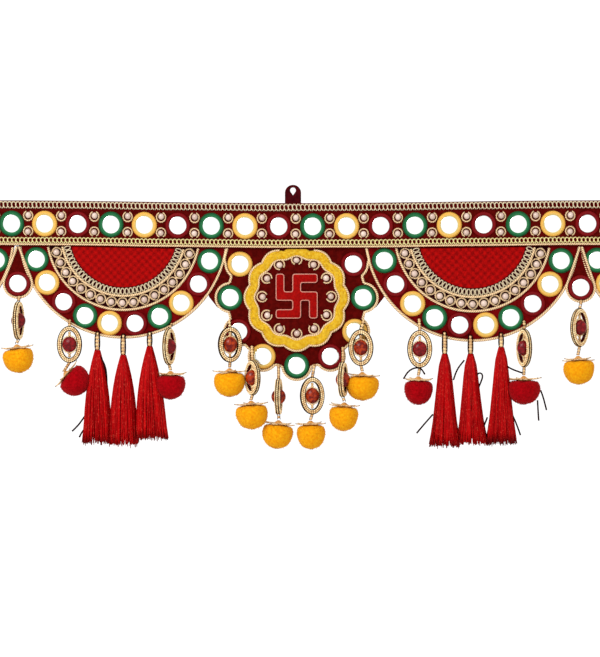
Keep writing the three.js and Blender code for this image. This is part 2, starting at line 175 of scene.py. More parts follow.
def skin(grid, start=None, end=None, loop=False, marks=None):
    """A closed skin over grid[row, column], whose columns join round. start and end close it with a point."""
    rows, cols = grid.shape[:2]
    row = np.arange(rows if loop else rows - 1)[:, None] * cols
    below = (row + cols) % (rows * cols)
    col = np.arange(cols)[None, :]
    beside = (col + 1) % cols
    faces = [np.stack([row + col, row + beside, below + beside, below + col], -1).reshape(-1, 4)]
    points = [grid.reshape(-1, 3)]
    notes = [np.zeros((rows * cols, 4)) if marks is None else marks.reshape(-1, 4)]
    for tip, ring, backwards in ((start, 0, True), (end, (rows - 1) * cols, False)):
        if tip is None:
            continue
        here, there = ring + col[0], ring + beside[0]
        pair = (there, here) if backwards else (here, there)
        faces.append(stacked(sum(len(p) for p in points), *pair, -1))
        points.append(np.asarray(tip, float)[None])
        notes.append(notes[0][ring:ring + cols].mean(0)[None])
    points, faces = np.concatenate(points), np.concatenate(faces)
    return points, outward(points, faces), np.concatenate(notes)


def turned(profile, sides):
    """A profile of (radius, height), closed by a point at both ends, turned about Z."""
    profile = np.asarray(profile, float)
    angle = np.arange(sides) * TURN / sides
    radius, height = profile[1:-1, :1], profile[1:-1, 1:]
    grid = stacked(radius * np.cos(angle), radius * np.sin(angle), height)
    marks = stacked(height, np.cos(angle), np.sin(angle), 0.0)
    return skin(grid, (0, 0, profile[0, 1]), (0, 0, profile[-1, 1]), marks=marks)


def sphere(radius, sides, rows):
    angle = np.linspace(0, math.pi, rows + 1)
    return turned(stacked(radius * np.sin(angle), -radius * np.cos(angle)), sides)


def many(faces, count, size):
    """The faces of one shape again for each of its copies, which have size points each."""
    return np.where(faces >= 0, faces + np.arange(count)[:, None, None] * size, -1).reshape(-1, 4)


def merged(shapes):
    """Several shapes as one."""
    points, faces, marks = zip(*shapes)
    starts = np.cumsum([0] + [len(p) for p in points])
    faces = [np.where(f >= 0, f + start, -1) for f, start in zip(faces, starts)]
    return np.concatenate(points), np.concatenate(faces), np.concatenate(marks)


def tubes(paths, radius, sides=6, up=(0, 1, 0), closed=False, lobes=0, depth=0.0, pitch=4.0, flat=1.0):
    """Round threads along paths[thread, step]. lobes twist round each with the pitch given. flat is their
    thickness along up, as a share of the radius."""
    paths = np.asarray(paths, float)
    paths = paths[None] if paths.ndim == 2 else paths
    count, steps = paths.shape[:2]
    along = np.roll(paths, -1, 1) - np.roll(paths, 1, 1) if closed else np.gradient(paths, axis=1)
    along = along / length(along)
    across = np.cross(along, np.asarray(up, float))
    across /= length(across)
    over = np.cross(across, along)
    run = np.zeros((count, steps, 1))
    run[:, 1:] = np.cumsum(length(np.diff(paths, axis=1)), 1)
    angle = np.arange(sides) * TURN / sides
    reach = np.broadcast_to(np.asarray(radius, float), (count, steps))[..., None] * np.ones(sides)
    if lobes:
        reach = reach * (1 + depth * np.cos(lobes * angle - TURN * run / pitch))
    ring = np.cos(angle)[:, None] * across[:, :, None] + flat * np.sin(angle)[:, None] * over[:, :, None]
    grid = paths[:, :, None] + reach[..., None] * ring
    marks = stacked(run, np.cos(angle), np.sin(angle), rng.random(count)[:, None, None])
    ends = (None, None) if closed else (paths[0, 0], paths[0, -1])
    one = skin(grid[0], *ends, closed, marks[0])
    if count == 1:
        return one
    points, notes = grid.reshape(count, -1, 3), marks.reshape(count, -1, 4)
    if not closed:
        points = np.concatenate([points, paths[:, :1], paths[:, -1:]], 1)
        notes = np.concatenate([notes, notes[:, :1], notes[:, -1:]], 1)
    return points.reshape(-1, 3), many(one[1], count, points.shape[1]), notes.reshape(-1, 4)


def copies(shape, origins, turns=None):
    """The shape once for each origin, turned by its own matrix, with a tone of its own."""
    points, faces, marks = shape
    origins = np.asarray(origins, float)
    count, size = len(origins), len(points)
    moved = np.broadcast_to(points, (count, size, 3))
    if turns is not None:
        moved = np.einsum("kij,nj->kni", np.broadcast_to(turns, (count, 3, 3)), points)
    notes = np.tile(marks, (count, 1))
    notes[:, 3] = np.repeat(rng.random(count), size)
    return (moved + origins[:, None]).reshape(-1, 3), many(faces, count, size), notes


def matrices(angle, axis):
    """Turning matrices. About y, a positive angle turns anticlockwise for one who stands in front."""
    angle = np.atleast_1d(np.asarray(angle, float))
    c, s, o, i = np.cos(angle), np.sin(angle), 0 * angle, 1 + 0 * angle
    table = dict(
        x=[[i, o, o], [o, c, -s], [o, s, c]],
        y=[[c, o, -s], [o, i, o], [s, o, c]],
        z=[[c, -s, o], [s, c, o], [o, o, i]],
    )[axis]
    return np.moveaxis(np.array(table), -1, 0)


def placed(shape, turn, at=(0, 0, 0)):
    points, faces, marks = shape
    if turn is not None:
        points = points @ turn.T
    return points + np.asarray(at, float), faces, marks


def oval(rx, rz, steps, y=0.0):
    angle = np.arange(steps) * TURN / steps
    return stacked(rx * np.sin(angle), y, -rz * np.cos(angle))


def spun(path, step, closed=False):
    """The path again in even steps."""
    path = np.asarray(path, float)
    if closed:
        path = np.concatenate([path, path[:1]])
    run = np.concatenate([[0], np.cumsum(length(np.diff(path, axis=0)))])
    count = max(4, round(run[-1] / step))
    wanted = np.linspace(0, run[-1], count, endpoint=not closed)
    return np.stack([np.interp(wanted, run, path[:, i]) for i in range(3)], -1)


def softened(path, times):
    """Corners cut off, to make a drawn line round."""
    path = np.asarray(path, float)
    for _ in range(times):
        before, after = path[:-1], path[1:]
        cut = np.stack([before * 0.75 + after * 0.25, before * 0.25 + after * 0.75], 1).reshape(-1, 3)
        path = np.concatenate([path[:1], cut, path[-1:]])
    return path


def rounded(corners, reach):
    """A closed line of straight sides whose corners are round over the reach given."""
    before, after = np.roll(corners, 1, 0) - corners, np.roll(corners, -1, 0) - corners
    start, end = corners + reach * before / length(before), corners + reach * after / length(after)
    share = np.linspace(0, 1, 4)[:, None, None]
    line = (1 - share) ** 2 * start + 2 * share * (1 - share) * corners + share ** 2 * end
    return line.transpose(1, 0, 2).reshape(-1, 3)


# A two-ply gold cord winds once round in this many millimetres.
CORD_PITCH = 4.4


def rope(path, radius, closed=False, step=0.95):
    """A two-ply gold cord."""
    return tubes(spun(path, step, closed), radius, 6, closed=closed, lobes=2, depth=0.2, pitch=CORD_PITCH / 2)


def arc(radius, bow, y, x0=0.0, z0=0.0, steps=200):
    """An arc that reaches bow degrees to both sides of straight down."""
    x, z = polar(radius, np.radians(np.linspace(-bow, bow, steps)), x0, z0)
    return stacked(x, y, z)


def spikes(roots, aims, lengths, width):
    """Short pointed fibres, each a closed three-sided spike."""
    aims = aims / length(aims)
    help_axis = np.where(np.abs(aims[:, 2:]) < 0.9, [[0.0, 0.0, 1.0]], [[1.0, 0.0, 0.0]])
    a = np.cross(aims, help_axis)
    a /= length(a)
    b = np.cross(aims, a)
    turn = rng.random(len(roots))[:, None] * TURN
    angles = [turn + k * TURN / 3 for k in range(3)]
    corners = [roots + width * (np.cos(angle) * a + np.sin(angle) * b) for angle in angles]
    points = np.stack(corners + [roots + aims * lengths[:, None]], 1).reshape(-1, 3)
    faces = many(np.array([[0, 2, 1, -1], [0, 1, 3, -1], [1, 2, 3, -1], [2, 0, 3, -1]]), len(roots), 4)
    marks = np.zeros((len(roots), 4, 4))
    marks[..., 3] = rng.random(len(roots))[:, None]
    return points, outward(points, faces), marks.reshape(-1, 4)


# How the hung cloth moves away from its plan.

def sag(x):
    """The band bows down between its loops."""
    return -SAG.depth * np.cos(np.pi * np.minimum(np.abs(x), SAG.reach) / SAG.reach)


def drifted(x):
    """The sewn trimmings of the band lie a little off even spacing, towards the right at both sides."""
    return x + DRIFT.middle + DRIFT.sides * np.clip(x / DRIFT.reach, -1, 1) ** 2


def sagging(points):
    points = points.copy()
    upper = np.clip(1 - points[:, 2] / BAND.mirror_z, 0, 1)
    points[:, 2] += sag(points[:, 0]) + SAG.top_rise * upper
    return points


def under_band(points, shift=(0.0, 0.0)):
    """What hangs below the band keeps its top edge at the band's own edge."""
    points = points.copy()
    z = points[:, 2].copy()
    near = np.clip((z - SAG.fades_z) / (PATCH.top - SAG.fades_z), 0, 1)
    points[:, 0] += shift[0]
    points[:, 2] = z + sag(points[:, 0]) * near + shift[1] * np.clip((PATCH.top - z) / 30, 0, 1)
    return points


def fitted(points, fit, x0):
    """A scallop's own shift, size and turn about the centre of its arcs."""
    middle = np.array([x0, 0.0, SCALLOP.z])
    moved = (points - middle) @ matrices(math.radians(-fit.turned), "y")[0].T
    moved[:, [0, 2]] *= fit.size
    return moved + middle + np.array([fit.x, 0.0, fit.z])


class Piece:
    """One mesh object, gathered from shapes. warp moves all the points of the pieces made while it is set."""

    warp = None

    def __init__(self, name, slot, *paints):
        self.name, self.slot, self.paints = name, slot, paints
        self.shapes, self.paint_of = [], []

    def add(self, shape, paint=0):
        self.shapes.append(shape)
        self.paint_of.append(np.broadcast_to(paint, len(shape[1])))
        return self

    def done(self, replaces=()):
        points, faces, marks = merged(self.shapes)
        if Piece.warp is not None:
            points = Piece.warp(points)
        corners = faces[faces >= 0]
        sizes = (faces >= 0).sum(1)
        mesh = bpy.data.meshes.new(self.name)
        mesh.vertices.add(len(points))
        mesh.vertices.foreach_set("co", (points * MM).astype(np.float32).ravel())
        mesh.loops.add(len(corners))
        mesh.loops.foreach_set("vertex_index", corners.astype(np.int32))
        mesh.polygons.add(len(faces))
        mesh.polygons.foreach_set("loop_start", np.concatenate([[0], np.cumsum(sizes)[:-1]]).astype(np.int32))
        for paint in self.paints:
            mesh.materials.append(paint)
        mesh.update(calc_edges=True)
        mesh.polygons.foreach_set("material_index", np.concatenate(self.paint_of).astype(np.int32))
        mesh.polygons.foreach_set("use_smooth", np.ones(len(faces), bool))
        place = mesh.attributes.new("place", "FLOAT_VECTOR", "POINT")
        place.data.foreach_set("vector", marks[:, :3].astype(np.float32).ravel())
        tone = mesh.attributes.new("tone", "FLOAT", "POINT")
        tone.data.foreach_set("value", marks[:, 3].astype(np.float32))
        mesh.validate()
        made = bpy.data.objects.new(self.name, mesh)
        bpy.context.scene.collection.objects.link(made)
        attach(made, "root")
        if replaces:
            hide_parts(*replaces)
        return made


# Materials, all procedural.
# Cloth and thread give back this share of the light that their colour on a screen would.
ALBEDO = 0.7


def rgb(red, green, blue, strength=ALBEDO):
    values = [v / 255 for v in (red, green, blue)]
    linear = [v / 12.92 if v <= 0.04045 else ((v + 0.055) / 1.055) ** 2.4 for v in values]
    return tuple(v * strength for v in linear) + (1.0,)


class Paint:
    """A material's nodes."""

    def __init__(self, name, **values):
        self.material = bpy.data.materials.new(name)
        self.material.use_nodes = True
        self.tree = self.material.node_tree
        self.shader = self.tree.nodes["Principled BSDF"]
        for key, value in values.items():
            self.shader.inputs[key.replace("_", " ")].default_value = value

    def node(self, kind, *sources, **settings):
        made = self.tree.nodes.new(kind)
        for key, value in settings.items():
            setattr(made, key, value)
        for socket, source in zip(made.inputs, sources):
            self.feed(socket, source)
        return made

    def feed(self, socket, source):
        if isinstance(source, bpy.types.NodeSocket):
            self.tree.links.new(source, socket)
        else:
            socket.default_value = source

    def math(self, operation, *sources):
        return self.node("ShaderNodeMath", *sources, operation=operation).outputs[0]

    def times(self, a, b):
        return self.math("MULTIPLY", a, b)

    def plus(self, a, b):
        return self.math("ADD", a, b)

    def wave(self, cosine):
        """A cosine moved to lie between 0 and 1."""
        return self.math("MULTIPLY_ADD", cosine, 0.5, 0.5)

    def mix(self, factor, a, b):
        made = self.node("ShaderNodeMix", data_type="RGBA")
        self.feed(made.inputs["Factor"], factor)
        self.feed(made.inputs[6], a)
        self.feed(made.inputs[7], b)
        return made.outputs[2]

    def place(self):
        """The three marks of place."""
        vector = self.node("ShaderNodeAttribute", attribute_name="place").outputs["Vector"]
        return self.node("ShaderNodeSeparateXYZ", vector).outputs[:3]

    def radius(self):
        """How far a place on a cloth lies from the middle of its arcs."""
        across, down, _ = self.place()
        return self.math("SQRT", self.plus(self.times(across, across), self.times(down, down)))

    def tone(self):
        return self.node("ShaderNodeAttribute", attribute_name="tone").outputs["Fac"]

    def noise(self, scale, detail=2.0, stretch=(1, 1, 1)):
        """Noise in space, with scale in lumps for each metre."""
        where = self.node("ShaderNodeTexCoord").outputs["Object"]
        where = self.node("ShaderNodeVectorMath", where, stretch, operation="MULTIPLY").outputs[0]
        made = self.node("ShaderNodeTexNoise")
        self.feed(made.inputs["Vector"], where)
        made.inputs["Scale"].default_value = scale
        made.inputs["Detail"].default_value = detail
        return made.outputs[0]

    def between(self, value, low, high):
        """0 below low and 1 above high."""
        return self.node("ShaderNodeMapRange", value, low, high).outputs[0]

    def mottled(self, dark, light, scale=260, detail=3):
        return self.mix(self.between(self.noise(scale, detail), 0.35, 0.65), dark, light)

    def bump(self, height, distance, strength=1.0):
        """Distance is in millimetres."""
        made = self.node("ShaderNodeBump")
        made.inputs["Strength"].default_value = strength
        made.inputs["Distance"].default_value = distance * MM
        self.feed(made.inputs["Height"], height)
        self.feed(self.shader.inputs["Normal"], made.outputs[0])

    def wear(self, colour):
        self.feed(self.shader.inputs["Base Color"], colour)
        return self.material

    def twist(self, pitch, plies):
        """Bright on each ply of a twisted thread and 0 between two."""
        along, cosine, sine = self.place()
        angle = self.math("ARCTAN2", sine, cosine)
        turn = self.math("SUBTRACT", self.times(angle, plies), self.times(along, TURN / pitch))
        return self.wave(self.math("COSINE", turn))


def velvet(name):
    p = Paint(name, Roughness=0.9, Specular_IOR_Level=0.02, Sheen_Weight=0.03, Sheen_Roughness=0.4,
              Sheen_Tint=(1.0, 0.25, 0.2, 1.0))
    p.bump(p.noise(2200), 0.5, 0.5)
    return p


def velvet_paint():
    p = velvet("velvet")
    return p.wear(p.mottled(rgb(76, 5, 3), rgb(98, 9, 6)))


def ground_paint():
    """The scallops' cloth: maroon, with painted shade under the pearls that makes it nearly black there."""
    p = velvet("velvet_ground")
    radius = p.radius()
    # Painted shade: the ring of cloth under the pearls.
    dark = p.times(p.between(radius, 76.8, 76.0), p.between(radius, 62.0, 63.0))
    return p.wear(p.mix(dark, p.mottled(rgb(98, 4, 6), rgb(122, 8, 10)), rgb(42, 5, 8)))


def cloth_paint(name, dark, light, roughness=0.7, fine=1500, depth=0.3, shine=0.03):
    p = Paint(name, Roughness=roughness, Specular_IOR_Level=shine)
    p.bump(p.noise(fine), depth)
    return p.wear(p.mottled(dark, light))


def brocade_paint():
    """Red brocade with a lattice woven in, and a dark strip just inside its edge."""
    p = Paint("brocade", Roughness=0.7, Specular_IOR_Level=0.02)
    pitch = 8.0
    radius = p.radius()
    strip = p.times(p.between(radius, 54.2, 54.8), p.between(radius, 63.8, 63.2))
    one, other = [p.math("COSINE", p.times(way, TURN / pitch)) for way in p.place()[:2]]
    rough = p.plus(p.times(p.wave(p.times(one, other)), 0.3), p.times(p.noise(900, 3), 0.8))
    p.bump(rough, 0.35)
    weave = p.mix(p.between(rough, 0.35, 0.75), rgb(124, 4, 5), rgb(188, 11, 9))
    return p.wear(p.mix(strip, weave, rgb(52, 5, 8)))


def cord_paint(name, dark, light, pitch=CORD_PITCH):
    p = Paint(name, Metallic=0.25, Roughness=0.42)
    fine = p.plus(p.times(p.twist(pitch / 2, 2), 0.75), p.times(p.noise(1400), 0.5))
    p.bump(fine, 0.5)
    return p.wear(p.mix(p.between(fine, 0.2, 0.62), dark, light))


def thread_paint(name, inner, outer):
    """Thread wound round a ring: lines across it, and a painted highlight: the inner side takes the inner tone,
    and the outer side the thread's own outer tone.
    """
    p = Paint(name, Roughness=0.45, Specular_IOR_Level=0.1)
    line_pitch = 0.55
    along, side, _ = p.place()
    lines = p.wave(p.math("COSINE", p.times(along, TURN / line_pitch)))
    p.bump(lines, 0.16)
    # Painted highlight: the ring's inner side is painted in the inner tone.
    base = p.mix(p.between(side, -0.35, 0.45), outer, inner)
    return p.wear(p.mix(p.times(lines, 0.2), base, rgb(10, 2, 2)))


def pearl_paint():
    p = Paint("pearl", Roughness=0.22, Specular_IOR_Level=0.6, Coat_Weight=0.5, Coat_Roughness=0.15)
    return p.wear(p.mix(p.tone(), rgb(232, 206, 190, 0.75), rgb(214, 184, 168, 0.7)))


def bead_paint(name, dark, light):
    p = Paint(name, Roughness=0.2, Specular_IOR_Level=0.18)
    return p.wear(p.mix(p.between(p.noise(320), 0.4, 0.65), dark, light))


def gold_paint():
    p = Paint("gold_bead", Metallic=0.35, Roughness=0.3)
    p.bump(p.noise(1200), 0.15)
    return p.wear(p.mix(p.tone(), rgb(240, 204, 148, 0.85), rgb(206, 154, 98, 0.75)))


def seed_paint():
    """Small cream glass beads, strung close together."""
    p = Paint("seed_bead", Metallic=0.1, Roughness=0.35, Specular_IOR_Level=0.3)
    return p.wear(p.mix(p.tone(), rgb(255, 232, 182, 0.95), rgb(228, 184, 124, 0.85)))


def petal_paint():
    """Pale gold leaf, darker towards the tip."""
    p = Paint("petal", Metallic=0.25, Roughness=0.38)
    leaf = p.mix(p.between(p.noise(900), 0.42, 0.6), rgb(206, 150, 92), rgb(250, 218, 162, 0.85))
    p.bump(p.noise(700), 0.3)
    return p.wear(p.mix(p.between(p.place()[0], 0.9, 1.0), leaf, rgb(84, 62, 40)))


def plush_paint(name, deep, bright, sheen):
    """sheen is the green and blue of the light on the pile's tips, whose red is full."""
    p = Paint(name, Roughness=0.95, Specular_IOR_Level=0.03, Sheen_Weight=0.12, Sheen_Roughness=0.5,
              Sheen_Tint=(1.0, *sheen, 1.0))
    mottle = p.plus(p.times(p.noise(420, 3), 0.85), p.times(p.tone(), 0.12))
    p.bump(p.noise(1500, 3), 0.45, 0.5)
    return p.wear(p.mix(p.between(mottle, 0.3, 0.7), deep, bright))


def silk_paint(name, dark, light):
    """Streaks along the strands, a few painted glints of highlight, and darker cut ends."""
    p = Paint(name, Roughness=0.5, Specular_IOR_Level=0.04, Anisotropic=0.4)
    ragged = p.times(p.between(p.place()[0], 86.0, 96.0), 0.75)
    streak = p.plus(p.times(p.tone(), 0.5), p.times(p.noise(420, stretch=(1, 1, 0.12)), 0.6))
    # Painted highlight: a few small bright glints on the strands.
    painted_glint = p.times(p.between(p.noise(1300, stretch=(1, 1, 0.3)), 0.6, 0.68), 0.55)
    body = p.mix(painted_glint, p.mix(p.between(streak, 0.3, 0.85), dark, light), rgb(240, 84, 66))
    return p.wear(p.mix(ragged, body, rgb(54, 4, 8)))


def satin_paint():
    p = Paint("satin_red", Roughness=0.6, Specular_IOR_Level=0.03)
    p.bump(p.noise(900, stretch=(1, 1, 4)), 0.3)
    return p.wear(p.mottled(rgb(146, 6, 5), rgb(176, 12, 7), 500, 2))


def glass_paint():
    p = Paint("mirror", Metallic=1.0, Roughness=0.13)
    return p.wear(p.mix(p.between(p.noise(60, 1), 0.3, 0.7), rgb(250, 253, 251, 1), rgb(244, 250, 247, 1)))


VELVET = velvet_paint()
GROUND = ground_paint()
LINING = cloth_paint("lining", rgb(60, 12, 12), rgb(78, 18, 16), 0.8, 1800, 0.35, 0.08)
RIBBON = cloth_paint("ribbon", rgb(58, 2, 8), rgb(84, 6, 14), depth=0.25)
BROCADE = brocade_paint()
ZARI = cord_paint("zari", rgb(146, 96, 58), rgb(250, 216, 166, 0.9))
ZARI_YELLOW = cord_paint("zari_yellow", rgb(182, 140, 60), rgb(255, 242, 172, 0.95))
BRAID = cord_paint("zari_braid", rgb(158, 122, 84), rgb(252, 234, 196, 0.9))
GOLD = gold_paint()
SEEDS = seed_paint()
PETAL = petal_paint()
ROSE = cord_paint("zari_rose", rgb(176, 70, 58), rgb(244, 172, 150, 0.85), 3.0)
CONE = cord_paint("cap_cone", rgb(170, 96, 30), rgb(244, 176, 84, 0.85), 2.2)
PEARL = pearl_paint()
GLASS = glass_paint()
# Ring threads: first the painted highlight on the inner side, then the thread's own colour on the outer side.
THREAD = dict(
    green=thread_paint("thread_green", rgb(50, 138, 84), rgb(26, 102, 58)),
    yellow=thread_paint("thread_yellow", rgb(234, 202, 118, 0.86), rgb(244, 184, 82, 0.88)),
    red=thread_paint("thread_red", rgb(134, 6, 16), rgb(138, 6, 12)),
)
BEADS = dict(
    bead_orange=bead_paint("bead_orange", rgb(108, 9, 2), rgb(188, 60, 12)),
    bead_crimson=bead_paint("bead_crimson", rgb(100, 2, 7), rgb(152, 14, 22)),
)
PLUSH = dict(
    plush_yellow=plush_paint("plush_yellow", rgb(238, 178, 16, 0.68), rgb(255, 220, 74, 0.71), (0.9, 0.5)),
    plush_gold=plush_paint("plush_gold", rgb(246, 152, 6, 0.68), rgb(255, 188, 20, 0.72), (0.8, 0.3)),
    plush_red=plush_paint("plush_red", rgb(146, 0, 7), rgb(188, 4, 18), (0.2, 0.2)),
)
SILK = silk_paint("silk_red", rgb(152, 0, 4), rgb(216, 8, 12))
DARK_THREAD = cloth_paint("dark_thread", rgb(26, 6, 8), rgb(40, 10, 12), shine=0.02)
# Painted shade: the medals' padding, dark maroon so that the gaps between their seeds look shaded.
MAROON_GAP_SHADE = cloth_paint("maroon_gap_shade", rgb(92, 5, 10), rgb(128, 9, 16))
SATIN = satin_paint()


# Cloth.

def directions(count):
    """Evenly spaced angles all round."""
    return np.linspace(0, TURN, count, endpoint=False)


def edge_radius(centre, inside, reach, angle):
    """How far the outline lies from the centre in each direction."""
    run = np.arange(0.0, reach, 0.05)
    return run[np.argmin(inside(*polar(run[:, None], angle, *centre)), axis=0)]


def uneven(x, z):
    """The small rise and fall of stiffened cloth."""
    return 0.22 * np.sin(x / 23 + 1) + 0.18 * np.sin(z / 17 + x / 41)


# A cloth's rounded hem: how far inside its edge, and how far through the cloth from the front.
HEM = [(0.7, 0.0), (0.2, 0.16), (0.0, 0.5), (0.2, 0.84), (0.7, 1.0)]


def cloth(name, slot, paint, outline, layer, rings, x0, z0):
    """A sheet about a centre from which its whole outline is seen, with a rounded hem and a lined back.
    outline is the centre, the edge's radii and their angles, and layer is where its front and back lie."""
    centre, radius, angle = outline
    front, back = layer
    spread = np.linspace(0, 1, rings + 1)[1:]
    flat = radius - HEM[0][0]
    rows = [(part * flat, 0.0) for part in spread]
    rows += [(radius - inset, rise) for inset, rise in HEM[1:]]
    rows += [(part * flat, 1.0) for part in spread[::-1][1:]]
    grid, marks = [], []
    for reach, rise in rows:
        x, z = polar(reach, angle, *centre)
        grid.append(stacked(x + x0, front + rise * (back - front) + uneven(x + x0, z), z))
        marks.append(stacked(x, z - z0, 0.0, rise))
    wave = uneven(centre[0] + x0, centre[1])
    tips = [(centre[0] + x0, y + wave, centre[1]) for y in layer]
    lined = np.arange(len(rows) - 1) > rings
    worn = np.repeat([*lined.astype(int), 0, 1], len(angle))
    shape = skin(np.array(grid), *tips, marks=np.array(marks))
    made = Piece(name, slot, paint, LINING).add(shape, worn).done([name])


# Trimmings.

def fanned(count, step):
    """Angles that spread evenly to both sides of straight down, with the step in degrees."""
    return np.radians((np.arange(count) - (count - 1) / 2) * step)


def below(angles, radius, z0, x0=0.0):
    return stacked(*polar(radius, angles, x0, z0))


def mirrors(places, colours, face, name):
    """Sewn mirrors: glass discs, and wound rings in up to three colours."""
    radius, steps, count = MIRROR.glass, 80, len(places)
    glass = turned([(0, 0), (radius, 0), (radius, 1.5), (radius - 1.4, 1.64), (0, 1.72)], 40)
    glass = placed(glass, matrices(math.pi / 2, "x")[0])
    tilt = matrices(rng.normal(0, MIRROR.tilt, count), "x") @ matrices(rng.normal(0, MIRROR.tilt, count), "z")
    discs = copies(glass, [(x, face, z) for x, z in places], tilt)
    Piece(name + "_mirrors", "mirror", GLASS).add(discs).done()
    for colour in sorted(set(colours)):
        radius, thread = RINGS[colour]
        ridge = thread * (1 + 0.045 * (-1.0) ** np.arange(steps))
        ring = tubes(oval(radius, radius, steps), ridge, closed=True, flat=MIRROR.ring_rise / thread)
        chosen = [(x, face - MIRROR.ring_lift, z) for (x, z), worn in zip(places, colours) if worn == colour]
        rings = copies(ring, chosen, matrices(rng.random(len(chosen)) * TURN, "y"))
        Piece(f"{name}_rings_{colour}", "thread_" + colour, THREAD[colour]).add(rings).done()


def pearl_loops(places, face, name, angles, wire_radius=4.5, pearl=3.0, cord=0.75):
    """Pearls, each in an open loop of gold wire. An angle of 0 opens the loop upwards."""
    loop = tubes(spun(arc(wire_radius, 158, 0.0), 0.9), cord)
    turns = matrices(angles, "y")
    wires = copies(loop, [(x, face - 0.4, z) for x, z in places], turns)
    Piece(name + "_wire", "zari", ZARI).add(wires).done()
    centres = np.array([(x, face - 1.3, z) for x, z in places]) + turns @ np.array([0.25, 0.0, 0.55])
    Piece(name + "_pearls", "pearl", PEARL).add(copies(sphere(pearl, 14, 9), centres)).done()


# Braid: the distance between its loops, and the degrees by which each lies over the next.
BRAID_PITCH = 4.1
BRAID_LIFT = 17


def braid(path, height, slant, cord, width=2.35):
    """Overlapping slanted loops of gold cord along a path."""
    line = spun(path, BRAID_PITCH)
    along = np.gradient(line, axis=0)
    angle = np.arctan2(along[:, 2], along[:, 0])
    loop = tubes(oval(width, height / 2 - cord, 12), cord, 4, closed=True)
    turns = matrices(angle + math.radians(slant), "y") @ matrices(math.radians(BRAID_LIFT), "z")
    return copies(loop, line, turns)


# The heading band.

def band_section():
    """The band's outline from the side as (y, z), with soft edges."""
    front, back, height = BAND.front, BAND.back, BAND.height
    inside, first, second = BAND.soft_in, 0.1, BAND.soft_down
    face = [-second, *(-height * np.linspace(0, 1, 12)[1:-1]), second - height]
    section = [(front + inside, -first)] + [(front, z) for z in face]
    section += [(front + inside, first - height), (0, -height), (back - inside, first - height)]
    section += [(back, z) for z in face[::-1]] + [(back - inside, -first), (0, 0)]
    return np.array(section)


def band_cloth():
    half, height = BAND.half, BAND.height
    section = band_section()
    ends = np.array([half, half - 0.3])
    x = np.concatenate([-ends, np.linspace(1.2 - half, half - 1.2, 200), ends[::-1]])[:, None]
    narrowed = np.where(np.abs(x) > half - 0.1, 0.5, 1.0)
    grid = stacked(x, section[:, 0] * narrowed + uneven(x, section[:, 1]), section[:, 1])
    marks = stacked(grid[..., 0], grid[..., 2], 0.0, 0.0)
    tips = [(end, uneven(end, -height / 2), -height / 2) for end in (-half, half)]
    shape = skin(grid, *tips, marks=marks)
    points, faces, _ = shape
    # A face is lined where the mean of two of its corners lies behind 0.8.
    behind = points[faces[:, 0], 1] + points[faces[:, 2], 1] > 2 * 0.8
    made = Piece("band", "velvet", VELVET, LINING).add(shape, behind.astype(int)).done(["band"])


def band_mirrors():
    count = BAND.mirrors
    pitch = 2 * BAND.half / count
    centres = [(drifted((i + 0.5) * pitch - BAND.half), BAND.mirror_z) for i in range(count)]
    colours = [COLOURS[(i - count // 2) % 3] for i in range(count)]
    mirrors(centres, colours, BAND.front, "band")
    between = [drifted(i * pitch - BAND.half) for i in range(1, count)]
    places = [(x, z) for x in between for z in BAND.pearl_z]
    pearl_loops(places, BAND.front, "band", [0.0, math.pi] * len(between))


def band_line(inset, z, lift):
    """A line along the band, a little wavy, that ends inset from its ends and lies lift before its front."""
    x = np.linspace(inset - BAND.half, BAND.half - inset, 400)
    return stacked(x, BAND.front - lift + uneven(x, z), z + 0.12 * np.sin(x / 19))


def band_trims():
    trims = Piece("band_braids", "zari", BRAID, ZARI, ZARI_YELLOW)
    trims.add(braid(band_line(2.5, BAND.top_braid_z, 0.7), BAND.top_braid, 14, 0.64))
    trims.add(braid(band_line(2.5, BAND.low_braid_z, 0.7), BAND.low_braid, 14, 0.68, 2.2), 2)
    trims.add(rope(band_line(0.8, BAND.cord_z, 0.4), BAND.cord), 1)
    for side in (-1, 1):
        end = stacked(side * (BAND.half - 0.9), BAND.front - 0.3, np.linspace(-1.2, -41.5, 60))
        trims.add(rope(end, BAND.end_cord), 1)
    trims.done()


def build_band():
    Piece.warp = sagging
    band_cloth()
    band_mirrors()
    band_trims()
    Piece.warp = None


# Half-round scallops, and the fans on them.

def half_round(name, slot, paint, radius, layer, rings, top, x0):
    """A disc about the middle of the scallop's arcs, cut off straight at the top."""
    z0, centre, angle = SCALLOP.z, (0.0, -60.0), directions(200)
    reach = edge_radius(centre, lambda x, z: (np.hypot(x, z - z0) < radius) & (z < top), 160, angle)
    cloth(name, slot, paint, (centre, reach, angle), layer, rings, x0, z0)


def scallop_arc(radius, y, x0, hidden):
    """An arc whose ends run up behind the band, by the depth hidden below its top."""
    return arc(radius, math.degrees(math.acos((SCALLOP.z + hidden) / radius)), y, x0, SCALLOP.z)


def scallop_cords(name, x0, edge):
    trims = Piece(f"scallop_{name}_cords", "zari", ZARI, BRAID)
    hidden = BAND.height + 0.4
    for radius in (SCALLOP.rim + edge, SCALLOP.middle):
        trims.add(rope(scallop_arc(radius, PANEL.front - 0.6, x0, hidden), SCALLOP.cord))
    ends = PEARLS.count / 2 * PEARLS.step
    swing = np.radians(np.linspace(-ends, ends, 420))
    for phase in (1, -1):
        radius = PEARLS.radius + phase * PEARLS.wave * np.cos(np.degrees(swing) / PEARLS.step * math.pi)
        x, z = polar(radius, swing, x0, SCALLOP.z)
        trims.add(tubes(stacked(x, PANEL.front - 0.5 - 0.2 * phase, z), PEARLS.wave_cord))
    trims.done()


def fan_cords(name, x0):
    trims = Piece(f"fan_{name}_cords", "zari", ZARI, BRAID)
    trims.add(rope(scallop_arc(FAN.radius - 0.7, FAN.front - 0.5, x0, BAND.height + 1.0), FAN.cord))
    line = scallop_arc(FAN.braid_r, FAN.front - 0.8, x0, BAND.height + 2.2)
    trims.add(braid(line, FAN.braid, 0, 0.62, 1.8), 1)
    trims.done()


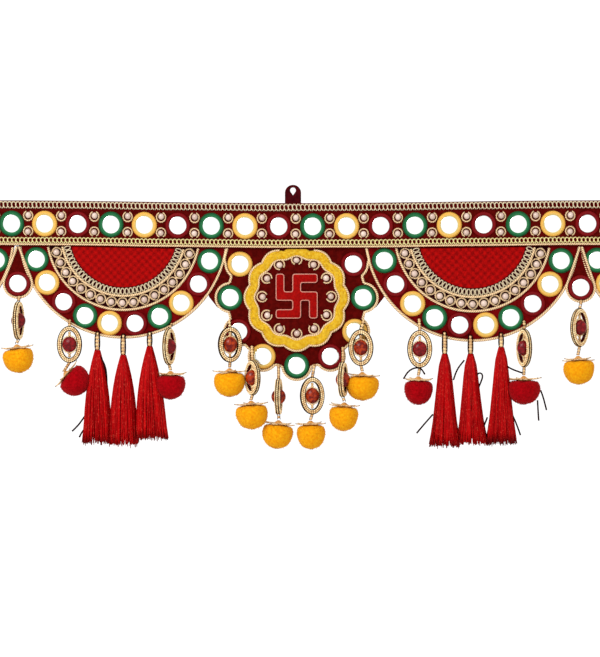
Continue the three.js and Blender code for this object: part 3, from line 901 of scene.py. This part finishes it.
def build_scallop(name, x0):
    fit = FIT.get(name, AS_PLANNED)
    radius = SCALLOP.radius + fit.edge

    def on_scallop(points):
        return fitted(points, fit, x0)

    def on_fan(points):
        return under_band(fitted(points, fit, x0))

    Piece.warp = on_scallop
    half_round("scallop_" + name, "velvet", GROUND, radius, (PANEL.front, PANEL.back), 14, PANEL.top, x0)
    Piece.warp = on_fan
    half_round("fan_" + name, "brocade", BROCADE, FAN.radius, (FAN.front, PATCH.back), 10, PATCH.top, x0)
    Piece.warp = on_scallop
    places = below(fanned(SCALLOP.mirrors, SCALLOP.step), SCALLOP.mirror_r, SCALLOP.z, x0)
    colours = [COLOURS[i % 3] for i in range(SCALLOP.mirrors)]
    # The colours run from the drop beside the scallop.
    from_left = name in ("left_inner", "right_outer")
    mirrors(places, colours if from_left else colours[::-1], PANEL.front, "scallop_" + name)
    scallop_cords(name, x0, fit.edge)
    Piece.warp = on_fan
    fan_cords(name, x0)
    Piece.warp = on_scallop
    angles = fanned(PEARLS.count, PEARLS.step)
    places = below(angles, PEARLS.radius, SCALLOP.z, x0)
    pearl_loops(places, PANEL.front, "scallop_" + name, angles + math.pi, 4.75, 3.3, 0.8)
    Piece.warp = None


# The lobed centre panel.

def lobed(angle, lobe, notch):
    """The radius of an outline with a round lobe about each mirror, and a notch between two."""
    step = math.radians(CENTRE.step)
    away = (angle + math.pi) % TURN - math.pi
    off = away - np.round(away / step) * step
    reach = lobe ** 2 - (CENTRE.mirror_r * np.sin(off)) ** 2
    round_part = CENTRE.mirror_r * np.cos(off) + np.sqrt(np.maximum(reach, 0))
    return np.where(reach > 0, np.maximum(notch, round_part), notch)


def on_centre_panel(x, z):
    """Whether a place is on the lobes or the webs beside them, and off the scallops with their gap."""
    in_lobes = np.hypot(x, z - CENTRE.z) < lobed(np.arctan2(x, CENTRE.z - z), CENTRE.lobe, CENTRE.notch)
    slope = (WEB.tip_x - WEB.foot_x) / (WEB.tip_z - WEB.foot_z)
    slanted = (z > WEB.foot_z) & (np.abs(x) < WEB.tip_x - (WEB.tip_z - z) * slope)
    in_web = np.where(z > WEB.tip_z, np.abs(x) < WEB.tip_x, slanted)
    beside = np.zeros(np.shape(x), bool)
    for name, fit in FIT.items():
        away = np.hypot(x - SCALLOP_X[name] - fit.x, z - SCALLOP.z - fit.z)
        beside |= away < (SCALLOP.radius + fit.edge) * fit.size - GAP
    return (in_lobes | in_web) & (z < PANEL.top) & ~beside


def build_centre():
    centre, angle = (0.0, -90.0), directions(360)
    reach = edge_radius(centre, on_centre_panel, 130, angle)
    layer = (PANEL.front, PANEL.back)
    cloth("centre_panel", "velvet", VELVET, (centre, reach, angle), layer, 14, 0.0, CENTRE.z)
    places = below(fanned(CENTRE.mirrors, CENTRE.step), CENTRE.mirror_r, CENTRE.z)
    mirrors(places, ["yellow", "green", "red"] * 3, PANEL.front, "centre")
    turn = np.radians(np.linspace(-CENTRE.piping_bow, CENTRE.piping_bow, 660))
    x, z = polar(lobed(turn, CENTRE.piping_lobe, CENTRE.piping_notch), turn, 0.0, CENTRE.z)
    y = PANEL.front - 0.6
    x_ends, z_ends = np.array(CENTRE.piping_ends).T
    path = np.concatenate([stacked(-x_ends, y, z_ends), stacked(x, y, z), stacked(x_ends, y, z_ends)[::-1]])
    Piece("centre_cords", "zari", ZARI).add(rope(softened(spun(path, 2.0), 1), CENTRE.piping)).done()


# The medallion, with its plush ring, pearls and ornament of good fortune.

def medallion_edges(angle):
    """The outer and inner radii of the plush ring. Its top is cut off at the band."""
    outer = MEDALLION.notch + MEDALLION.lobe * np.abs(np.cos(MEDALLION.lobes / 2 * angle))
    up = -np.cos(angle)
    outer = np.where(up > 0.5, np.minimum(outer, (PATCH.top - MEDALLION.z) / np.maximum(up, 0.5)), outer)
    outer = outer * (1 - MEDALLION.squeeze * np.sin(angle) ** 2)
    return outer, MEDALLION.well + MEDALLION.wave * np.cos(MEDALLION.lobes * angle)


def plush_rise(part):
    """The height of the plush ring, by how far from its inner edge to its outer one."""
    return MEDALLION.plush * (1 - (2 * part - 1) ** 4) ** 0.5


def medallion_cloth(angle, outer, inner):
    hem, back, z0 = MEDALLION.edge, PATCH.back, MEDALLION.z
    rows = [(part * inner, 0.0) for part in np.linspace(0, 1, 8)[1:]]
    grounds = len(rows) - 1
    rows += [(inner + (outer - hem - inner) * part, plush_rise(part)) for part in np.linspace(0, 1, 11)[1:-1]]
    rows += [(outer - hem, 0.0)]
    fronts = len(rows)
    rows += [(outer, -0.7), (outer - hem, -back)] + [(part * outer, -back) for part in (0.8, 0.6, 0.4, 0.2)]
    grid, marks = [], []
    for reach, rise in rows:
        x, z = polar(reach, angle, 0.0, z0)
        lumps = 0.12 * np.sin(9 * x) * np.sin(8 * z) * (rise > 0)
        grid.append(stacked(x, PATCH.front - rise + uneven(x, z) + lumps, z))
        marks.append(stacked(x, z - z0, 0.0, 0.0))
    tips = [(0, y + uneven(0, z0), z0) for y in (PATCH.front, back)]
    bands = np.arange(len(rows) - 1)
    worn = np.select([bands < grounds, bands < fronts], [0, 1], 2)
    return skin(np.array(grid), *tips, marks=np.array(marks)), np.repeat([*worn, 0, 2], len(angle))


def medallion_pile(angle, outer, inner):
    """Short pile on the ring."""
    count = MEDALLION.pile
    turn = rng.random(count) * TURN
    part = rng.uniform(0.08, 0.92, count)
    low, high = np.interp(turn, angle, inner), np.interp(turn, angle, outer)
    x, z = polar(low + (high - low) * part, turn, 0.0, MEDALLION.z)
    y = PATCH.front - plush_rise(part) + uneven(x, z) + 0.1
    lean = rng.normal(0, 0.45, (count, 3))
    lean[:, 1] = -1.0
    return spikes(stacked(x, y, z), lean, rng.uniform(0.5, 1.1, count), 0.28)


def emblem_outline(inset, y):
    """The ornament's outline, drawn in by the inset: a cross whose four arms turn to the right."""
    half, end = EMBLEM.half - inset, EMBLEM.end - inset
    hook = end - 2 * half
    corners = []
    for quarter in range(4):
        c, s = math.cos(quarter * math.pi / 2), math.sin(quarter * math.pi / 2)
        arm = [(-half, half), (-half, end), (end, end), (end, hook), (half, hook)]
        corners += [(x * c + z * s, 0.0, z * c - x * s) for x, z in arm]
    return rounded(np.array(corners) * EMBLEM.size, EMBLEM.corner) + np.array([0, y, EMBLEM.z])


def medallion_cords(angle, outer, inner):
    cords = Piece("medallion_cords", "zari", ZARI, ROSE)
    x, z = polar(outer, angle, 0.0, MEDALLION.z)
    # The outer cord starts and ends at the band.
    seen = np.roll(np.abs(angle - math.pi) > math.radians(18), len(angle) // 2)
    rim = np.roll(stacked(x, -0.3, z), len(angle) // 2, 0)[seen]
    cords.add(rope(rim, MEDALLION.rim_cord))
    x, z = polar(inner, angle, 0.0, MEDALLION.z)
    cords.add(rope(stacked(x, -0.5, z), MEDALLION.lip_cord, closed=True))
    cords.add(rope(emblem_outline(0.0, -0.9), EMBLEM.cord, closed=True, step=0.7), 1)
    cords.done()


def drawn_face(ring, first, forwards):
    """Triangles within a drawn outline, whose first point has the number given."""
    triangles = np.array(tessellate_polygon([[Vector((x, z, 0)) for x, _, z in ring]]))
    a, b, c = ring[triangles.T]
    facing = np.cross(b - a, c - a)[:, 1]
    right = facing < 0 if forwards else facing > 0
    triangles = np.where(right[:, None], triangles, triangles[:, ::-1]) + first
    return stacked(*triangles.T, -1)


def build_emblem():
    """The padded ornament, from its foot to its rounded shoulder and flat front."""
    rings = [emblem_outline(inset, y) for inset, y in ((0.0, 0.3), (0.0, -0.9), (0.4, -1.35), (1.1, -1.6))]
    points, sides, marks = skin(np.array(rings))
    a, b, d = points[sides[:, 0]], points[sides[:, 1]], points[sides[:, 3]]
    # The rounded shoulder tells which way the sides look: it has to face forwards.
    if np.cross(b - a, d - a)[:, 1].sum() > 0:
        sides = sides[:, [0, 3, 2, 1]]
    front = drawn_face(rings[-1], (len(rings) - 1) * len(rings[0]), True)
    faces = np.concatenate([sides, front, drawn_face(rings[0], 0, False)])
    Piece("emblem", "satin_red", SATIN).add((points, faces, marks)).done()


def build_medallion():
    Piece.warp = under_band
    angle = directions(240)
    outer, inner = medallion_edges(angle)
    piece = Piece("medallion", "plush_yellow", VELVET, PLUSH["plush_yellow"], LINING)
    piece.add(*medallion_cloth(angle, outer, inner)).add(medallion_pile(angle, outer, inner), 1)
    piece.done(["medallion"])
    medallion_cords(angle, outer, inner)
    build_emblem()
    turns = directions(MEDALLION.lobes)
    places = stacked(MEDALLION.pearl_x * np.sin(turns), MEDALLION.pearl_z - MEDALLION.pearl_r * np.cos(turns))
    pearl_loops(places, PATCH.front, "medallion", turns, 5.0, 3.1, 0.8)
    Piece.warp = None


# Drops and loops.

def build_drop(side, x0):
    def on_drop(points):
        return under_band(points, DROP_SHIFT[side])

    Piece.warp = on_drop
    z0, radius, neck = DROP.z, DROP.radius, DROP.neck
    rise = PATCH.top - z0
    # The neck's sides touch the round foot in this direction.
    tangent = math.atan2(rise, neck) - math.acos(radius / math.hypot(rise, neck))
    touch_x, touch_z = radius * math.cos(tangent), z0 + radius * math.sin(tangent)

    def inside(x, z):
        width = neck + (PATCH.top - z) * (touch_x - neck) / (PATCH.top - touch_z)
        return (np.hypot(x, z - z0) < radius) | ((z < PATCH.top) & (z > touch_z) & (np.abs(x) < width))

    # Extra directions where the neck's corners lie.
    corner = math.pi - math.atan2(neck, rise)
    near = np.array([-0.004, 0.0, 0.004])
    angle = np.unique(np.concatenate([directions(180), corner + near, TURN - corner + near]))
    reach = np.maximum(edge_radius((0.0, z0), inside, 60, angle), 4.0)
    outline, layer = ((0.0, z0), reach, angle), (PATCH.front, PATCH.back)
    cloth("drop_" + side, "velvet", VELVET, outline, layer, 10, x0, z0)
    mirrors([(x0, z0)], ["red"], PATCH.front, "drop_" + side)
    foot = arc(DROP.rim, math.degrees(tangent) + 90, -0.4, x0, z0, 90)
    left, right = [(x0 + way * (neck - 1.0), -0.4, PATCH.top - 0.6) for way in (-1, 1)]
    Piece(f"drop_{side}_cord", "zari", ZARI).add(rope([left, *foot, right], DROP.cord)).done()
    Piece.warp = None


# The ribbon's section: how far from the eye's edge to the outer one, and how far through it from the front.
RIBBON_FRONT = [(0.04, 0.1), (0.12, 0.0), (0.35, 0.0), (0.65, 0.0), (0.9, 0.0), (0.97, 0.1)]
RIBBON_BACK = [(part, 1.0 - rise) for part, rise in RIBBON_FRONT[::-1]]
RIBBON_SECTION = [(0.0, 0.5), *RIBBON_FRONT, (1.0, 0.5), *RIBBON_BACK]


def build_loop(name, x0):
    half, top, bottom, eye = LOOP.half, LOOP.top, LOOP.bottom, LOOP.eye_r
    angle, crown = directions(120), top - half

    def inside(x, z):
        return (np.abs(x) < half) & (z > bottom) & ((z < crown) | (np.hypot(x, z - crown) < half))

    outer = edge_radius((0.0, LOOP.eye_z), inside, 40, angle)
    # The eye is round with a point below.
    spread = math.acos(eye / (LOOP.eye_z - LOOP.point_z))
    tip = np.abs((angle + math.pi) % TURN - math.pi)
    hole = np.where(tip < spread, eye / np.cos(np.minimum(spread - tip, 1.4)), eye)
    grid, marks = [], []
    for part, rise in RIBBON_SECTION:
        x, z = polar(hole + (outer - hole) * part, angle, 0.0, LOOP.eye_z)
        # The ribbon is folded over itself, so that its two legs slant and overlap below the eye.
        fold = 0.35 * np.tanh(x / 2.2) * np.clip((7.0 - z) / 10.0, 0, 1) + 0.1 * np.sin(x * 1.3)
        grid.append(stacked(x + x0, LOOP.front + rise * (LOOP.back - LOOP.front) + fold * (1 - rise), z))
        marks.append(stacked(x, z, 0.0, 0.0))
    shape = skin(np.array(grid), loop=True, marks=np.array(marks))
    made = Piece(name, "ribbon", RIBBON).add(shape).done([name])


# Medals and plush balls.
SEED = sphere(1.0, 5, 4)
LINK_BEAD = sphere(1.55, 8, 6)
# Rows on a medal: how far inside its outline each lies, and how far from its middle plane.
SEED_ROWS = ((1.1, -1.9), (1.1, 1.9), (2.9, -2.1), (2.9, 2.1), (0.6, 0.0))
# The dark thread rows are real thread, and their dark colour is also painted shade at the medal's edge and in
# the gaps between its seeds.
THREAD_ROWS = ((-0.1, -1.2), (-0.1, 1.2), (4.1, -1.2), (4.1, 1.2))


def beads_between(start, end, pitch):
    start, end = np.asarray(start, float), np.asarray(end, float)
    count = max(1, int(np.linalg.norm(end - start) / pitch))
    share = (np.arange(count) + 0.5) / count
    return start + share[:, None] * (end - start)


def medal_oval(piece, high, turn, at):
    """The medal's padded ring with its seed beads, and what fills it above and below the bead."""
    half, wall = MEDAL.half, MEDAL.wall
    body = tubes(oval(half - wall, high - wall, 48), MEDAL.padding, 8, closed=True, flat=1.65)
    # The padding shows between the seeds, and its dark maroon is painted shade in those gaps.
    piece.add(placed(body, turn, at), 3)
    for inset, y in SEED_ROWS:
        row = spun(oval(half - inset, high - inset, 120, y), MEDAL.seed_step, True)
        piece.add(placed(copies(SEED, row), turn, at), 1)
    for inset, y in THREAD_ROWS:
        thread = tubes(oval(half - inset, high - inset, 48, y), MEDAL.thread, 4, closed=True)
        piece.add(placed(thread, turn, at), 2)
    above = [(0, 0, z) for z in np.arange(MEDAL.bead_z + 1.4, high - 2 * wall, 2.4)]
    piece.add(placed(copies(LINK_BEAD, above + [(0, 0, -z) for _, _, z in above]), turn, at))
    cup = spun(oval(MEDAL.bead_x + 0.5, MEDAL.bead_z + 0.6, 80), 2.0, True)
    piece.add(placed(copies(SEED, cup), turn, at), 1)


def medal_links(piece, p, x0, cloth_front, at):
    """Beads and threads that run from the stitch to the medal, and from the medal to the ball."""
    top, foot = np.array(at) + (0, 0, p.high), np.array(at) - (0, 0, p.high)
    hook = np.array([p.hook_x + x0, cloth_front - 0.9, p.hook_z])
    lean = math.radians(p.lean)
    swing_x, swing_z = BALL.swing * math.sin(lean), BALL.swing * math.cos(lean)
    ball_top = np.array([p.ball_x + x0 - swing_x, p.y, p.ball_z + swing_z])
    bend = np.array([hook[0], at[1], hook[2]])
    for start, end in ((bend, top), (foot, ball_top)):
        piece.add(copies(LINK_BEAD, beads_between(start, end, MEDAL.link_step)))
        for beside in (-1.3, 1.3):
            piece.add(tubes(np.linspace(start, end, 4) + (beside, 0.3, 0), MEDAL.link_thread, 5), 2)
    if np.linalg.norm(bend - hook) > 1.5:
        piece.add(copies(LINK_BEAD, beads_between(hook, bend, 2.1)))
        piece.add(tubes(np.linspace(hook + (0, 0.8, 0), bend, 4), 0.5, 5, up=(0, 0, 1)), 2)


def build_medal(number, p, x0, cloth_front, bead_slot):
    name, at = f"medal_{number:02d}", (p.x + x0, p.y, p.z)
    piece = Piece(name, "gold_bead", GOLD, SEEDS, DARK_THREAD, MAROON_GAP_SHADE)
    medal_oval(piece, p.high, matrices(math.radians(p.turn), "z")[0], at)
    medal_links(piece, p, x0, cloth_front, at)
    piece.done([name])
    points, faces, marks = sphere(1.0, 14, 10)
    gem = (points * (MEDAL.bead_x, MEDAL.bead_y, MEDAL.bead_z) + at, faces, marks)
    Piece(name + "_bead", bead_slot, BEADS[bead_slot]).add(gem).done()


# A ball's outline from top to foot, as shares of its half width and of its height.
BALL_OUTLINE = np.array([
    (0, 0.985), (0.14, 0.98), (0.34, 0.955), (0.55, 0.9), (0.74, 0.8), (0.88, 0.655), (0.965, 0.5),
    (1.0, 0.35), (0.985, 0.215), (0.92, 0.11), (0.8, 0.045), (0.6, 0.012), (0.3, 0.0), (0, 0),
])


def ball_grid(wide):
    """A ball's skin below its cap, slightly pressed out of round."""
    angle = directions(BALL.around)
    corners = np.arange(len(BALL_OUTLINE))
    dense = np.linspace(0, corners[-1], 27)[1:-1]
    out, down = [np.interp(dense, corners, column)[:, None] for column in BALL_OUTLINE.T]
    radius, drop = wide * out, BALL.height * down
    phase = rng.random(3) * TURN
    swell = 1 + 0.018 * np.sin(3 * angle + phase[0])
    swell = swell + 0.012 * np.sin(7 * angle + phase[1]) * np.sin(drop / 3 + phase[2])
    return stacked(radius * swell * np.cos(angle), radius * swell * np.sin(angle) * 0.97, -BALL.rise - drop)


def ball_pile(grid):
    """Pile that stands out of the ball."""
    count = BALL.pile
    row = rng.integers(0, grid.shape[0], count)
    col = rng.integers(0, grid.shape[1], count)
    middle = np.array([0, 0, -BALL.rise - BALL.height * 0.42])
    roots = grid[row, col] + rng.normal(0, 0.35, (count, 3))
    away = roots - middle
    away = away / length(away) + rng.normal(0, 0.22, (count, 3))
    return spikes(roots - 0.3 * away, away, rng.uniform(0.5, 1.0, count), 0.3)


def petal(reach):
    """A pointed petal that lies on the ball's flat top and bends up at its tip."""
    steps = np.linspace(0, 1, 9)[:, None]
    width = BALL.petal * np.sin(np.pi * np.clip(steps * 0.82 + 0.2, 0, 1)) ** 0.9 * (1 - steps ** 4) + 0.05
    lift = -BALL.rise + 0.7 + 0.5 * np.sin(steps * math.pi) + 1.5 * np.maximum(steps - 0.7, 0) / 0.3
    across = np.array([1.0, 0.5, 0.0, -0.5, -1.0, -0.5, 0.0, 0.5])
    up = np.array([0.1, 1.0, 0.6, 1.0, 0.1, -0.5, -0.6, -0.5])
    grid = stacked(2.0 + steps * reach, width * across, lift + up * (1 - 0.45 * steps ** 2))
    marks = stacked(steps + 0 * across, 0.0, 0.0, 0.0)
    return skin(grid, grid[0].mean(0), grid[-1].mean(0), marks=marks)


def ball_cap(cap, wide, lean, at):
    """The cap: a cone, and petals round it."""
    low = -BALL.rise
    cone = [(0, 0.2), (1.3, 0.1), (2.9, -1.3), (5.2, -2.8)]
    cone += [(BALL.cone, low + 0.5), (BALL.cone, low - 0.2), (0, low - 0.1)]
    cap.add(placed(turned(cone, 18), lean, at), 1)
    tips = BALL.tips
    start = rng.random() * TURN / tips
    around = matrices(start + directions(tips) + rng.normal(0, 0.05, tips), "z")
    curl = matrices(rng.normal(-0.02, 0.05, tips), "y")
    cap.add(placed(copies(petal(wide * 1.1 - 2.0), np.zeros((tips, 3)), around @ curl), lean, at))
    cap.done()


def build_ball(number, p, x0, slot):
    name, plush = f"pompom_{number:02d}", PLUSH[slot]
    lean = matrices(math.radians(p.lean), "y")[0]
    at = (p.ball_x + x0, p.y, p.ball_z)
    grid = ball_grid(p.wide)
    shape = skin(grid, (0, 0, -BALL.rise - BALL.height * BALL_OUTLINE[0, 1]), (0, 0, -BALL.rise))
    made = Piece(name, slot, plush).add(placed(shape, lean, at)).done([name])
    Piece(name + "_pile", slot, plush).add(placed(ball_pile(grid), lean, at)).done()
    ball_cap(Piece(name + "_cap", "gold_bead", PETAL, CONE), p.wide, lean, at)


# Tassels.

def skirt(fall, tight):
    """A tassel's half width, by how far down it is. A tight one has a short shoulder, then opens evenly."""
    loose_width = TASSEL.neck + 10.8 * (1 - (1 - fall) ** 2.4)
    tight_width = TASSEL.neck + 2.6 * (1 - np.exp(-14 * fall)) + 8.8 * fall ** 1.1
    return loose_width + (tight_width - loose_width) * tight


def tassel_heart(drop, swing, full, tight):
    """An opaque heart, so that no light shows through the skirt."""
    fall = np.linspace(0, 1, 14)
    reach = skirt(fall * 0.92, tight) - 1.0
    points, faces, marks = turned([(0, 0.0), *zip(reach, -3.0 - fall * (drop - 9.0)), (0, 5.0 - drop)], 20)
    share = np.clip(-points[:, 2:] / drop, 0, 1)
    points[:, :2] *= (1, TASSEL.depth) * (1 + (full - 1) * share)
    points[:, 0] += swing * share[:, 0] ** 2
    return points, faces, marks


def tassel_strands(drop, swing, full, tight):
    count = TASSEL.strands
    share = np.linspace(0, 1, 9)
    turn = (np.arange(count) + rng.random(count)) / count * TURN
    outer = np.where(rng.random(count) < 0.72, 1.0, rng.uniform(0.55, 1.0, count))[:, None]
    ends = (drop + rng.normal(0, 1.3, count) - np.abs(rng.normal(0, 1.0, count)))[:, None]
    kick = rng.random(count)[:, None] * np.clip((share - 0.82) / 0.18, 0, 1) * 1.9
    flare = (skirt(share, tight) * (1 + (full - 1) * share) + kick) * outer
    flare = flare + rng.normal(0, 0.05, count)[:, None] * share ** 2 * 6
    bend = turn[:, None] + rng.normal(0, 0.1, count)[:, None] * share
    x = flare * np.cos(bend) + swing * share ** 2
    paths = stacked(x, flare * np.sin(bend) * TASSEL.depth, -1.5 - share * (ends - 1.5))
    thick = rng.uniform(0.5, 0.8, count)[:, None] * (0.85 + 0.3 * share) * np.where(share > 0.99, 0.55, 1.0)
    return tubes(paths, thick * 1.06, 3)


def build_tassel(number, tight, x, top, head, foot, swing=0.0, full=1.0):
    name, drop, y = f"tassel_{number:02d}", head - foot, TASSEL.y
    piece = Piece(name, "silk_red", SILK, GOLD, DARK_THREAD)
    piece.add(placed(tassel_heart(drop, swing, full, tight), None, (x, y, head)))
    piece.add(placed(tassel_strands(drop, swing, full, tight), None, (x, y, head)))
    # The gold neck: beads between two dark cords, and a bound head.
    column = beads_between((x, y - 0.9, top - 1.0), (x, y - 0.9, head - 1.2), 2.9)
    column[0, 1] = PANEL.front - 1.8
    piece.add(copies(sphere(TASSEL.bead, 9, 7), column), 1)
    for side in (-1, 1):
        edge = [(x + side * 1.0, PANEL.front - 0.5, top), (x + side * 2.0, y, top - 4.0)]
        edge += [(x + side * 2.3, y, head + 3.0), (x + side * 1.4, y, head - 2.5)]
        piece.add(tubes(softened(edge, 2), TASSEL.neck_cord), 2)
    piece.done([name])


# Stray dark threads that hang beside the tassels, in millimetres from the band's middle.
LOOSE_THREADS = [
    [(-196.2, -153), (-190.5, -164), (-189.4, -178), (-189.6, -207)],
    [(-208.0, -208), (-213.0, -215), (-218, -222), (-224.2, -228)],
    [(-209, -223), (-214, -228), (-217, -234)],
    [(106.7, -175.8), (111.1, -168.4), (117.3, -164.8), (123.9, -164.8), (127.9, -171.4)],
    [(136, -211), (128, -220), (119.6, -230)],
    [(167.3, -157), (160, -166), (156.3, -177)],
    [(177.8, -175), (182, -169), (186.3, -172), (183, -181), (180.3, -187)],
    [(208.3, -162), (214, -166), (225.3, -170)],
    [(243.3, -187), (246, -194), (249.3, -207)],
    [(240.3, -197), (240.8, -207), (241.5, -217.5)],
    [(215.3, -212), (219, -220), (223.3, -232)],
    [(180.3, -214), (186, -226), (190.3, -234)],
    [(190.3, -214), (186, -225), (181.3, -233)],
]


def build_loose_threads():
    piece = Piece("loose_threads", "silk_red", DARK_THREAD)
    for points in LOOSE_THREADS:
        path = [(x, TASSEL.y - 2.0, z) for x, z in points]
        piece.add(tubes(spun(softened(path, 2), 1.5), 0.9, 5))
    piece.done()


def build_pendants():
    """The medals with their balls and the tassels, numbered from the centre panel to the scallops."""
    drops = [(row, way * DROP.x) for row, way in ((DROP_PENDANTS["left"], -1), (DROP_PENDANTS["right"], 1))]
    hung = [(row, 0.0, PANEL.front, "bead_orange", "plush_gold") for row in CENTRE_PENDANTS]
    hung += [(row, x0, PATCH.front, "bead_crimson", "plush_gold") for row, x0 in drops]
    number = tassel = 0
    for row, x0, front, bead_slot, plush_slot in hung:
        number += 1
        build_medal(number, Pendant(*row), x0, front, bead_slot)
        build_ball(number, Pendant(*row), x0, plush_slot)
    for name, x0 in SCALLOP_X.items():
        for row in SCALLOP_PENDANTS[name]:
            number += 1
            build_medal(number, Pendant(*row), x0, PANEL.front, "bead_crimson")
            build_ball(number, Pendant(*row), x0, "plush_red")
        for x, *rest in SCALLOP_TASSELS[name]:
            tassel += 1
            build_tassel(tassel, TIGHT[name], x + x0, *rest)


# Floor, light and camera.

def placed_in_scene(name, data):
    made = bpy.data.objects.new(name, data)
    bpy.context.scene.collection.objects.link(made)
    return made


def build_floor():
    reach, z = 2.4, -0.9
    mesh = bpy.data.meshes.new("floor")
    corners = [(-reach, -reach, z), (reach, -reach, z), (reach, reach, z), (-reach, reach, z)]
    mesh.from_pydata(corners, [], [(0, 1, 2, 3)])
    mesh.materials.append(Paint("floor", Roughness=0.8).wear(rgb(236, 236, 234, 1)))
    floor = placed_in_scene("floor", mesh)


def build_light():
    world = bpy.data.worlds.new("studio")
    world.use_nodes = True
    background = world.node_tree.nodes["Background"].inputs
    background["Color"].default_value = (1, 1, 1, 1)
    background["Strength"].default_value = 1.1
    bpy.context.scene.world = world
    data = bpy.data.lights.new("key", "AREA")
    data.size, data.energy = 1.2, 42
    key = placed_in_scene("key", data)
    key.location = (-1.1, -2.0, 1.2)
    middle = Vector((0, 0, -0.12))
    key.rotation_euler = (middle - key.location).to_track_quat("-Z", "Y").to_euler()


def build_camera():
    data = bpy.data.cameras.new("camera")
    data.lens, data.sensor_width = 137.0, 36.0
    camera = placed_in_scene("camera", data)
    camera.location = (0.0033, -2.5, -0.1255)
    camera.rotation_euler = (math.pi / 2, 0, 0)
    bpy.context.scene.camera = camera
    bpy.context.scene.view_settings.view_transform = "Standard"


build_band()
for loop_name, loop_x in LOOP_X.items():
    build_loop(loop_name, loop_x)
build_centre()
build_medallion()
build_drop("left", -DROP.x)
build_drop("right", DROP.x)
for scallop_name, scallop_x in SCALLOP_X.items():
    build_scallop(scallop_name, scallop_x)
build_pendants()
build_loose_threads()
build_floor()
build_light()
build_camera()
